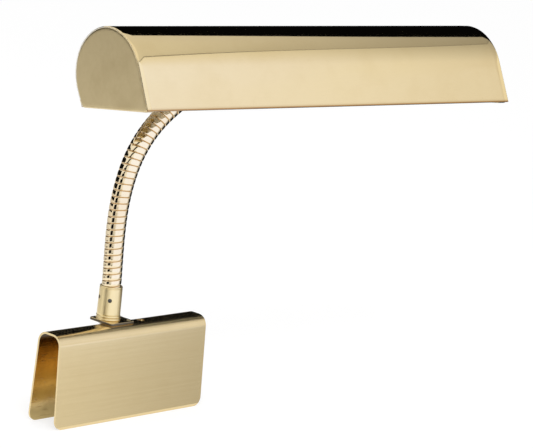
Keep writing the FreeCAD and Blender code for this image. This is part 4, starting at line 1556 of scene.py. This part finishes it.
# ---------------- bulb and holder
@dataclass
class BulbAndHolder:
    """The tubular bulb, its screw cap, the moulded holder and the two leads."""

    shade: Shade
    bulb_end: float = 181.75 * MM
    bulb_radius: float = 15.9 * MM
    bulb_wall: float = 0.7 * MM
    shoulder: float = 12.0 * MM
    cap_low: float = 298.05 * MM
    cap_high: float = 316.05 * MM
    cap_radius: float = 13.1 * MM
    cap_sheet: float = 0.4 * MM
    thread_pitch: float = 3.6 * MM
    thread_depth: float = 0.9 * MM
    holder_mouth: float = 300.0 * MM
    holder_length: float = 34.5 * MM
    holder_radius: float = 17.5 * MM
    holder_bore: float = 14.1 * MM
    holder_floor: float = 8.0 * MM
    ribs: int = 5
    rib_pitch: float = 4.2 * MM
    wire_hole: float = 1.0 * MM
    thread_turns: int = 4
    lead_radius: float = 1.1 * MM
    lead_start: float = 5.0 * MM
    lead_spread: float = 1.4 * MM
    lead_side: float = 17.0 * MM
    lead_rise: float = 28.0 * MM
    lead_run: float = 8.0 * MM
    lead_climb: float = 16.0 * MM
    lead_ends: tuple[tuple[int, float, float], ...] = (
        (-1, 318.5 * MM, 17.5 * MM), (1, 347.0 * MM, 11.0 * MM))
    mouth: float = 144.6 * MM
    body: str = "shade"

    def glass_wall(self, inset: float) -> Outline:
        """The glass' line from its round end to its cap.

        Args:
            inset: How far inside the outer face it is.

        Returns:
            The line's points.
        """
        radius = self.bulb_radius - inset
        centre = self.bulb_end + self.bulb_radius
        dome = arc((centre, 0.0), radius, 179.0, 90.0, 20)
        start = self.cap_low - self.shoulder
        neck = self.cap_radius - self.cap_sheet - 0.1 * MM - inset
        side = [(centre + (start - centre) * k / 6, radius) for k in range(1, 7)]
        narrowing = []
        for k in range(1, 13):
            share = k / 12
            smooth = share * share * (3 - 2 * share)
            narrowing.append((start + self.shoulder * share, radius + (neck - radius) * smooth))
        return dome + side + narrowing + [(self.cap_low + 6 * MM, neck)]

    def make_glass(self) -> None:
        """The blown tube, round at its end and necked in to its cap."""
        outer, inner = self.glass_wall(0.0), self.glass_wall(self.bulb_wall)
        outline = [(self.bulb_end, 0.0)] + outer + inner[::-1] + [(self.bulb_end + self.bulb_wall, 0.0)]
        piece = lathe("bulb_tube", outline, self.shade.lamp_axis, 72)
        dress(piece, self.body, ["bulb_glass"], Finish.GLASS)

    def make_cap(self) -> None:
        """The screw cap, with its rolled thread."""
        low, high, sheet = self.cap_low, self.cap_high, self.cap_sheet
        radius, root = self.cap_radius, self.cap_radius - self.thread_depth
        outline: Outline = [(low, radius - sheet), (low, radius)]
        for k in range(self.thread_turns * 10 + 1):
            wave = 0.5 - 0.5 * math.cos(2 * math.pi * k / 10)
            along = low + 2.2 * MM + self.thread_pitch * k / 10 * 0.98
            outline.append((along, radius - self.thread_depth * wave))
        outline += [(high, root), (high, 2 * MM), (high - sheet, 2 * MM), (high - sheet, root - sheet),
                    (low + 6 * MM, root - sheet)]
        piece = lathe("bulb_screw_cap", outline, self.shade.lamp_axis)
        dress(piece, self.body, ["bulb_cap"], Finish.ALUMINIUM)

    def make_holder(self) -> None:
        """The moulded holder, with a lip at its mouth and ribs round its grip."""
        mouth, radius = self.holder_mouth, self.holder_radius
        back = mouth + self.holder_length
        floor = back - self.holder_floor
        outline: Outline = [(mouth, self.holder_bore + 0.6 * MM)]
        outline += arc((mouth + MM, radius - MM), MM, 180, 90, 5)
        valley, crest = radius - 0.5 * MM, radius - 0.08 * MM
        outline += [(mouth + 3.2 * MM, radius), (mouth + 3.6 * MM, valley)]
        for k in range(self.ribs):
            low = mouth + 5.0 * MM + self.rib_pitch * k
            high = low + self.rib_pitch
            outline += [(low, valley), (low + 0.35 * MM, crest),
                        (high - 1.15 * MM, crest), (high - 0.8 * MM, valley)]
        outline += [(back - 6.4 * MM, valley), (back - 6.0 * MM, radius)]
        outline += arc((back - 1.5 * MM, radius - 1.5 * MM), 1.5 * MM, 90, 0, 5)
        outline += [(back, self.wire_hole), (floor, self.wire_hole)]
        outline += [(floor, self.holder_bore), (mouth + 0.6 * MM, self.holder_bore)]
        piece = lathe("holder_ribbed_body", outline, self.shade.lamp_axis, 80)
        dress(piece, self.body, ["lamp_holder"], Finish.PHENOLIC)

    def make_leads(self) -> None:
        """Two sleeved leads, which lie under the crown from the pivot to the holder and the switch."""
        piece = joined("sleeved_lead_pair", [self.lead(*end) for end in self.lead_ends])
        dress(piece, self.body, ["lamp_leads"], Finish.SLEEVE)

    def lead(self, side: int, turn_x: float, end_radius: float) -> Piece:
        """One lead, as a tube along a smooth curve.

        Args:
            side: -1 for the front lead and 1 for the back one.
            turn_x: Where it turns in to the bulb's axis.
            end_radius: Radius of what it ends at.

        Returns:
            The tube.
        """
        lamp = self.shade.lamp_rise
        aside, rise = side * self.lead_side, self.lead_rise
        inwards = Vector((0.0, aside, rise - lamp)).normalized()
        turn = self.mouth + self.lead_run
        points = [
            Vector((self.mouth - self.lead_start, side * self.lead_spread, 0.0)),
            Vector((turn, side * self.lead_spread, 0.0)),
            Vector((turn + self.lead_climb, aside, rise)),
            Vector((turn_x, aside, rise)),
            Vector((turn_x, 0.0, lamp)) + inwards * (end_radius + 0.1 * MM),
        ]
        curve = bpy.data.curves.new("lead_route", "CURVE")
        curve.dimensions = "3D"
        curve.resolution_u = 10
        curve.bevel_depth = self.lead_radius
        curve.bevel_resolution = 3
        spline = curve.splines.new("NURBS")
        spline.points.add(len(points) - 1)
        for control, point in zip(spline.points, points):
            control.co = (*(self.shade.bracket_frame @ point), 1.0)
        spline.order_u = 3
        spline.use_endpoint_u = True
        route = bpy.data.objects.new("lead_route", curve)
        bpy.context.scene.collection.objects.link(route)
        bpy.context.view_layer.update()
        graph = bpy.context.evaluated_depsgraph_get()
        mesh = bpy.data.meshes.new_from_object(route.evaluated_get(graph))
        bpy.data.objects.remove(route)
        tube = bpy.data.objects.new("lead_tube", mesh)
        bpy.context.scene.collection.objects.link(tube)
        return tube

    def build(self) -> None:
        """Make the bulb, the holder and the leads."""
        self.make_glass()
        self.make_cap()
        self.make_holder()
        self.make_leads()


@dataclass
class SwitchKnob:
    """The fluted knob on the right-hand cap, with a mark that shows how far it is turned."""

    shade: Shade
    skirt: float = 357.5 * MM
    face: float = 371.5 * MM
    radius: float = 9.0 * MM
    room: float = 7.7 * MM
    hollow: float = 359.5 * MM
    flutes: int = 16
    flute_depth: float = 0.7 * MM
    mark: Pair = (1.6 * MM, 5.0 * MM)
    mark_width: float = 1.0 * MM
    segments: int = 192
    body: str = "switch"

    def build(self) -> None:
        """Make the knob and its mark."""
        draft = Draft()
        face = self.face
        profile = [(self.hollow, 3.2 * MM, 0.0), (self.hollow, self.room, 0.0), (self.skirt, self.room, 0.0),
                   (self.skirt, self.radius - 0.3 * MM, 0.0), (self.skirt + 0.3 * MM, self.radius, 0.0),
                   (self.skirt + 1.4 * MM, self.radius, 0.0), (self.skirt + 2.0 * MM, self.radius, 1.0),
                   (face - 2.4 * MM, self.radius - 0.15 * MM, 1.0),
                   (face - 1.5 * MM, self.radius - 0.3 * MM, 0.6)]
        profile += [(x, r, 0.0) for x, r in arc((face - MM, self.radius - 1.5 * MM), MM, 80, 0, 6)]
        profile += [(face, self.radius - 3.2 * MM, 0.0), (face - 0.35 * MM, self.radius - 3.8 * MM, 0.0),
                    (face - 0.35 * MM, 1.0 * MM, 0.0)]
        rows = []
        for along, radius, fluting in profile:
            ring = []
            for i in range(self.segments):
                angle = 2 * math.pi * i / self.segments
                groove = max(0.0, math.cos(self.flutes * angle)) ** 1.5
                reach = radius - fluting * self.flute_depth * groove
                point = Vector((reach * math.cos(angle), reach * math.sin(angle), along))
                ring.append(self.shade.lamp_axis @ point)
            rows.append(ring)
        draft.solid(rows)
        piece = draft.build("switch_fluted_knob", 40.0)
        dress(piece, self.body, ["switch_knob"], Finish.PHENOLIC)
        self.make_mark()

    def make_mark(self) -> None:
        """The pale bar on the knob's face that shows how far it is turned."""
        low, high = self.face - 0.45 * MM, self.face - 0.08 * MM
        half = self.mark_width / 2
        corners = ((self.mark[0], -half), (self.mark[1], -half), (self.mark[1], half), (self.mark[0], half))
        draft = Draft()
        rows = [[self.shade.lamp_axis @ Vector((y, z, along)) for y, z in corners] for along in (low, high)]
        draft.solid(rows)
        piece = draft.build("switch_knob_mark")
        softened(piece, 0.1 * MM)
        dress(piece, self.body, [], Finish.KNOB_MARK)


# ---------------- hardware that keeps its CAD shape
@dataclass(frozen=True)
class Hardware:
    """The pieces whose own solids show: their finish is all that they need."""

    finishes: tuple[tuple[str, Finish], ...] = (
        ("base_nipple", Finish.TURNED), ("nipple_nut", Finish.STEEL), ("cord_bushing", Finish.BUSHING),
        ("pivot_tube", Finish.TURNED_X), ("friction_washer", Finish.BUSHING),
        ("spring_washer", Finish.STEEL_TURNED), ("pivot_nut", Finish.TURNED_X),
        ("pivot_bracket", Finish.STEEL), ("socket_bracket", Finish.STEEL),
        ("holder_screws", Finish.STEEL_TURNED), ("screw_shell", Finish.CONTACT),
        ("centre_contact", Finish.CONTACT), ("bulb_insulator", Finish.PHENOLIC),
        ("bulb_tip", Finish.CONTACT), ("bulb_filament", Finish.STEEL), ("switch_body", Finish.PHENOLIC),
        ("switch_nut", Finish.STEEL_TURNED), ("switch_spindle", Finish.STEEL_TURNED),
    )

    def build(self) -> None:
        """Give each piece its finish."""
        for name, finish in self.finishes:
            piece = frame["nodes"][name]
            wear(piece, finish)
            LOG.info("%s keeps its own shape", name)


# ---------------- camera and studio
@dataclass(frozen=True)
class Viewpoint:
    """The camera: where it stands, which way it looks and how far it leans."""

    place: Triple = (-1.328955, -1.292095, 0.465223)
    heading: float = 48.7319
    dip: float = 11.5486
    roll: float = 6.6052
    lens: float = 175.61
    sensor: float = 36.0

    def build(self) -> None:
        """Make the camera and use it."""
        heading, dip, roll = (math.radians(angle) for angle in (self.heading, self.dip, self.roll))
        ahead = math.cos(dip)
        forward = Vector((math.sin(heading) * ahead, math.cos(heading) * ahead, -math.sin(dip)))
        level = forward.cross(Vector((0.0, 0.0, 1.0))).normalized()
        upright = level.cross(forward)
        right = level * math.cos(roll) + upright * math.sin(roll)
        up = upright * math.cos(roll) - level * math.sin(roll)
        turn = Matrix((right, up, -forward)).transposed()
        data = bpy.data.cameras.new("camera")
        data.lens = self.lens
        data.sensor_width = self.sensor
        camera = bpy.data.objects.new("camera", data)
        camera.matrix_world = Matrix.Translation(self.place) @ turn.to_4x4()
        bpy.context.scene.collection.objects.link(camera)
        bpy.context.scene.camera = camera


def bearing(azimuth: float, elevation: float) -> Vector:
    """A direction: azimuth from +Y towards +X, and elevation, in degrees."""
    turn, rise = math.radians(azimuth), math.radians(elevation)
    return Vector((math.sin(turn) * math.cos(rise), math.cos(turn) * math.cos(rise), math.sin(rise)))


def blended(stops: Sequence[Colour], share: float) -> Colour:
    """The colour at a share of the way through evenly spaced stops.

    Args:
        stops: The colours in order.
        share: The share, from 0 to 1.

    Returns:
        The colour there.
    """
    place = min(max(share, 0.0), 1.0) * (len(stops) - 1)
    low = min(int(place), len(stops) - 2) if len(stops) > 1 else 0
    high = min(low + 1, len(stops) - 1)
    part = place - low
    return tuple(a * (1 - part) + b * part for a, b in zip(stops[low], stops[high]))


def greys(*values: float) -> tuple[Colour, ...]:
    """Neutral lights of these strengths."""
    return tuple((value, value, value) for value in values)


@dataclass(frozen=True)
class Card:
    """A studio card that only polished surfaces see.

    Attributes:
        rows: Rows of points, as many in each, that the card passes through.
        glow: Rows of colours, spread evenly over the card.
    """

    name: str
    rows: tuple[tuple[Vector, ...], ...]
    glow: tuple[tuple[Colour, ...], ...]

    def build(self) -> None:
        """Hang the card, with its colours on its points."""
        draft = Draft()
        draft.grid(self.rows)
        card = draft.build(self.name, 180.0)
        colours = []
        for i, row in enumerate(self.rows):
            down = i / (len(self.rows) - 1)
            for k in range(len(row)):
                across = k / (len(row) - 1)
                tint = blended([blended(line, across) for line in self.glow], down)
                colours += [*tint, 1.0]
        card.data.attributes.new("glow", "FLOAT_COLOR", "POINT").data.foreach_set("color", colours)
        card.data.materials.append(card_glow())
        hide_from_all_but_gloss(card)
        card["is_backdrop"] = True


def card_glow() -> bpy.types.Material:
    """The light of every card, from the colours on its points; made on first use."""
    material = bpy.data.materials.get("card_glow")
    if material:
        return material
    material, graph = new_material("card_glow")
    glow = graph.add("ShaderNodeEmission", {}, {"Color": graph.attribute("glow", "Color"), "Strength": 1.0},
                     "Emission")
    graph.add("ShaderNodeOutputMaterial", {}, {"Surface": glow})
    return material


@dataclass(frozen=True)
class Rail:
    """A smooth line in the room, set by places on the lamp and the directions that they mirror.

    Attributes:
        sights: For each place its x, y and z in millimetres, and an azimuth and an elevation in degrees.
        reach: How far the line is from these places.
    """

    sights: tuple[tuple[float, float, float, float, float], ...]
    reach: float

    def at(self, share: float) -> Vector:
        """Find a point on the line, which runs straight on past its ends.

        Args:
            share: How far it is, from 0 at the first place to 1 at the last.

        Returns:
            The point.
        """
        inside = min(max(share, 0.0), 1.0)
        if inside != share:
            step = 0.1
            start, back = self.at(inside), self.at(abs(inside - step))
            return start + (start - back) * abs(share - inside) / step
        last = len(self.sights) - 1
        total = Vector()
        for i, (x, y, z, azimuth, elevation) in enumerate(self.sights):
            weight = 1.0
            for k in range(last + 1):
                if k != i:
                    weight *= (share * last - k) / (i - k)
            total += (Vector((x, y, z)) * MM + bearing(azimuth, elevation) * self.reach) * weight
        return total

    def shifted(self, azimuth: float, elevation: float) -> Rail:
        """The same line seen this many degrees further."""
        moved = tuple((x, y, z, az + azimuth, el + elevation) for x, y, z, az, el in self.sights)
        return Rail(moved, self.reach)


def loft(name: str, rails: tuple[Rail, Rail], *glow: tuple[Colour, ...], steps: int = 24,
         overhang: float = 0.4) -> Card:
    """A card between two lines.

    Args:
        name: The card's name.
        rails: Its two edges.
        glow: Rows of colours from the first edge to the last.
        steps: How many faces it has each way.
        overhang: How far it goes past the ends of its lines, as a share of their length.

    Returns:
        The card.
    """
    ends = [-overhang + (1 + 2 * overhang) * k / steps for k in range(steps + 1)]
    near = [rails[0].at(share) for share in ends]
    far = [rails[1].at(share) for share in ends]
    rows = tuple(tuple(a.lerp(b, i / steps) for a, b in zip(near, far)) for i in range(steps + 1))
    return Card(name, rows, glow)


@dataclass(frozen=True)
class Outlook:
    """Where directions are seen from, and where the cards stand: below the horizon they lie on the floor.

    Attributes:
        centre: Where the directions start.
        floor: Height of the floor.
        reach: How far the cards are.
        lift: How high they lie above the floor.
    """

    centre: Vector
    floor: float
    reach: float = 2.6
    lift: float = 3 * MM

    def spot(self, azimuth: float, elevation: float) -> Vector:
        """Find the point of a card in one direction.

        Args:
            azimuth: The direction's azimuth, in degrees.
            elevation: Its elevation.

        Returns:
            The point, on the shell or on the floor.
        """
        way = bearing(azimuth, elevation)
        reach = self.reach
        if way.z < 0.0:
            reach = min(reach, (self.centre.z - self.floor - self.lift) / -way.z)
        return self.centre + way * reach

    def sector(self, name: str, azimuths: Pair, elevations: Pair,
               *glow: tuple[Colour, ...], steps: int = 16) -> Card:
        """A curved card between two azimuths and two elevations.

        Args:
            name: The card's name.
            azimuths: From where to where it reaches sideways, in degrees.
            elevations: From where to where it reaches upwards, in degrees.
            glow: Rows of colours from its foot to its top.
            steps: How many faces it has each way.

        Returns:
            The card.
        """
        (az_low, az_high), (el_low, el_high) = azimuths, elevations
        rows = tuple(
            tuple(self.spot(az_low + (az_high - az_low) * k / steps, el_low + (el_high - el_low) * i / steps)
                  for k in range(steps + 1))
            for i in range(steps + 1))
        return Card(name, rows, glow)

    def ribbon(self, name: str, path: Sequence[Pair], width: float, *glow: Colour,
               steps: int = 6) -> Card:
        """A narrow card along a path of directions.

        Args:
            name: The card's name.
            path: Directions as azimuth and elevation, in degrees.
            width: Its width in degrees.
            glow: Colours from the path's start to its end.
            steps: How many faces lie between two directions.

        Returns:
            The card.
        """
        ways = [bearing(*point) for point in path]
        walk = [a.slerp(b, k / steps) for a, b in zip(ways, ways[1:]) for k in range(steps)] + [ways[-1]]
        rows = []
        for i, way in enumerate(walk):
            ahead = walk[min(i + 1, len(walk) - 1)] - walk[max(i - 1, 0)]
            side = way.cross(ahead).normalized() * math.radians(width / 2)
            pair = []
            for edge in (way - side, way + side):
                azimuth = math.degrees(math.atan2(edge.x, edge.y))
                pair.append(self.spot(azimuth, math.degrees(math.asin(edge.normalized().z))))
            rows.append(tuple(pair))
        return Card(name, tuple(rows), tuple((colour,) for colour in glow))


def hide_from_all_but_gloss(card: Piece) -> None:
    """Let only reflections see a card: it lights nothing, shades nothing and doesn't show."""
    for ray in ("camera", "diffuse", "shadow", "transmission", "volume_scatter"):
        setattr(card, "visible_" + ray, False)


@dataclass
class Studio:
    """The room: a pale floor, a white surround, one soft lamp, and the cards that the brass mirrors."""

    surround: float = 0.72
    floor_glow: float = 1.2
    floor_share: float = 0.6
    floor_half: float = 6.0
    key_power: float = 16.0
    key_size: float = 1.2
    key_place: Triple = (-0.9, -1.1, 1.5)
    key_aim: Triple = (0.1, 0.0, 0.1)
    white: Colour = (1.10, 1.18, 1.45)
    bench: Triple = (-0.01, 0.008, 0.06)

    def __post_init__(self) -> None:
        """Find the floor below the clip."""
        self.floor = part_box("clip_body")[0].z

    def seen_directly(self, graph: Graph) -> Field:
        """Tell the rays that show a surface from those that light others.

        Args:
            graph: Where the nodes go.

        Returns:
            1 for camera, glossy and transmission rays, and 0 for diffuse ones.
        """
        camera, glossy, through = (graph.add("ShaderNodeLightPath", {}, {}, "Is %s Ray" % kind)
                                   for kind in ("Camera", "Glossy", "Transmission"))
        return graph.combine("MAXIMUM", graph.combine("MAXIMUM", camera, glossy), through)

    def make_world(self) -> None:
        """A surround that looks white and lights the lamp gently."""
        world = bpy.data.worlds.new("surround")
        world.use_nodes = True
        bpy.context.scene.world = world
        graph = Graph(world.node_tree)
        share = self.seen_directly(graph)
        soft, white = (graph.add("ShaderNodeBackground", {}, {"Color": (1, 1, 1, 1), "Strength": strength},
                                 "Background") for strength in (self.surround, 1.0))
        mixed = graph.add("ShaderNodeMixShader", {}, {0: share, 1: soft, 2: white}, "Shader")
        graph.add("ShaderNodeOutputWorld", {}, {"Surface": mixed})

    def make_floor(self) -> None:
        """A pale floor that shows as white, and keeps the lamp's shadow."""
        half = self.floor_half
        draft = Draft()
        draft.grid([[Vector((x, y, self.floor)) for x in (-half, half)] for y in (-half, half)])
        piece = draft.build("pale_floor")
        material, graph = new_material("pale_floor")
        share = self.seen_directly(graph) * self.floor_share
        paint = graph.add("ShaderNodeBsdfDiffuse", {}, {"Color": (0.9, 0.9, 0.9, 1.0)}, "BSDF")
        glow = graph.add("ShaderNodeEmission", {}, {"Color": (1, 1, 1, 1), "Strength": self.floor_glow},
                         "Emission")
        mixed = graph.add("ShaderNodeMixShader", {}, {0: share, 1: paint, 2: glow}, "Shader")
        graph.add("ShaderNodeOutputMaterial", {}, {"Surface": mixed})
        piece.data.materials.append(material)
        piece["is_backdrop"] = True

    def make_key(self) -> None:
        """One large soft lamp, high on the left in front."""
        light = bpy.data.lights.new("soft_key", "AREA")
        light.shape = "DISK"
        light.size = self.key_size
        light.energy = self.key_power
        key = bpy.data.objects.new("soft_key", light)
        key.visible_glossy = False
        way = Vector(self.key_aim) - Vector(self.key_place)
        turn = way.to_track_quat("-Z", "Y").to_matrix().to_4x4()
        key.matrix_world = Matrix.Translation(self.key_place) @ turn
        bpy.context.scene.collection.objects.link(key)

    def make_shade_cards(self) -> None:
        """Hang the cards that the shade mirrors; each line of places is where an edge falls on it."""
        black_edge = Rail(((-31.5, -4.0, 217.0, 57.5, 43.4), (71.0, -21.0, 216.0, 66.9, 42.8),
                           (174.0, -36.5, 216.0, 72.4, 43.0), (276.0, -52.0, 217.0, 76.3, 42.2)), 1.3)
        seam = Rail(((-25.7, -21.8, 204.3, 125.6, 47.4), (85.7, -35.0, 207.6, 113.4, 48.8),
                     (197.0, -49.5, 209.7, 106.8, 47.5), (308.2, -62.5, 212.8, 96.4, 45.7)), 1.0)
        leg = Rail(((-20.0, -34.0, 185.0, 141.5, 33.6), (295.0, -77.0, 190.0, 134.4, 30.5)), 1.5)
        foot = Rail(((-60.0, -11.5, -5.0, 137.0, -4.0), (60.0, -11.5, -5.0, 133.0, -4.0)), 1.9)
        loft("grey_roof", (black_edge, seam),
             greys(0.84, 0.80, 0.68, 0.53, 0.44, 0.40), greys(0.80, 0.76, 0.60, 0.48, 0.38, 0.34)).build()
        loft("bright_front", (seam, leg),
             greys(0.97, 0.94, 0.84, 0.66, 0.48, 0.44),
             ((1.07, 1.16, 1.56), (1.06, 1.14, 1.48), (1.03, 1.08, 1.32), (1.00, 1.03, 1.12),
              (0.88, 0.88, 0.92), (0.80, 0.78, 0.76))).build()
        loft("bright_foot", (leg, foot),
             ((1.06, 1.14, 1.50), (1.02, 1.06, 1.22), (0.86, 0.86, 0.88)),
             ((0.95, 0.95, 1.00), (0.92, 0.92, 0.96), (0.88, 0.88, 0.90))).build()
        loft("dark_seam", (seam, seam.shifted(0.0, -1.0)), greys(0.30)).build()

    def make_floor_cards(self) -> None:
        """Lay a ring of greys round the lamp's foot, with the dark mats that the gooseneck mirrors."""
        hose = Outlook(Vector(self.bench), self.floor)
        ring = Outlook(hose.centre, self.floor, reach=2.8, lift=MM)
        tones = (*greys(0.66, 0.70, 0.75, 0.80, 0.80, 0.10, 0.02, 0.02, 0.02, 0.20, 0.55),
                 *[self.white] * 7, *greys(0.84, 0.60, 0.95, 0.72, 0.70, 1.0, 0.86, 0.84, 0.80))
        ring.sector("floor_ring", (-15.0, 345.0), (-21.0, -1.5), tones, steps=80).build()
        self.make_front_mat()
        for card in (
            hose.sector("black_left_mat", (-104.0, -75.0), (-18.5, 16.0), greys(0.004)),
            hose.ribbon("black_left_arm", ((-89.5, 15.0), (-100.0, 28.0), (-114.0, 38.0), (-128.0, 42.0)),
                        13.0, *greys(0.01)),
            hose.sector("dark_near_strip", (-125.0, -112.0), (-21.0, -16.5), greys(0.12)),
            hose.sector("grey_near_strip", (-96.0, -78.0), (-21.0, -18.5), greys(0.30)),
            hose.sector("brown_near_strip", (-52.0, -17.0), (-21.0, -15.0), greys(0.36)),
            hose.sector("black_left_back", (-57.0, 22.0), (-2.5, 25.0), greys(0.006)),
            hose.sector("dark_back_wall", (20.0, 35.0), (-2.0, 24.0), greys(0.03)),
            hose.sector("black_right_mat", (56.0, 111.0), (-21.0, -1.0), greys(0.006)),
            hose.sector("bright_left_wall", (150.0, 232.0), (-2.0, 50.0), (self.white,)),
        ):
            card.build()
        far = Outlook(Vector((0.08, 0.0, 0.10)), self.floor, reach=3.2)
        far.sector("black_backdrop", (35.0, 103.0), (-1.0, 54.0), greys(0.002)).build()

    def make_front_mat(self) -> None:
        """Lay a mat before the clip's front, brighter to the left, along the way that the front mirrors."""
        near, side, azimuth, length = 0.0135, 0.14, 134.0, 0.36
        slant = bearing(azimuth, 0.0) * length
        height = self.floor + 2 * MM
        start = [Vector((-side + 2 * side * k / 8, -near, height)) for k in range(9)]
        rows = (tuple(start), tuple(point + slant for point in start))
        Card("front_mat", rows, (greys(0.88, 0.84, 0.72, 0.61, 0.55),)).build()

    def build(self) -> None:
        """Make the whole room round the lamp."""
        self.make_world()
        self.make_floor()
        self.make_key()
        self.make_shade_cards()
        self.make_floor_cards()


def as_list(bounds: object) -> object:
    """Bounds as plain lists of numbers.

    Args:
        bounds: A number, or a sequence of bounds.

    Returns:
        The same numbers.
    """
    if isinstance(bounds, (int, float)):
        return float(bounds)
    return [as_list(value) for value in bounds]


def main() -> None:
    """Build the lamp's looks round its frame."""
    logging.basicConfig(level=logging.INFO, format="%(message)s")
    cad_bounds = as_list(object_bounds())
    bpy.context.scene.view_settings.view_transform = "Standard"
    Viewpoint().build()
    clip = DeskClip()
    clip.build()
    BaseFerrule(clip).build()
    neck = Gooseneck()
    neck.build()
    UpperFerrule(neck).build()
    shade = Shade()
    shade.build()
    BulbAndHolder(shade).build()
    SwitchKnob(shade).build()
    Hardware().build()
    Studio().build()
    {"cad": cad_bounds, "visual": as_list(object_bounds())}


if __name__ == "__main__":
    main()
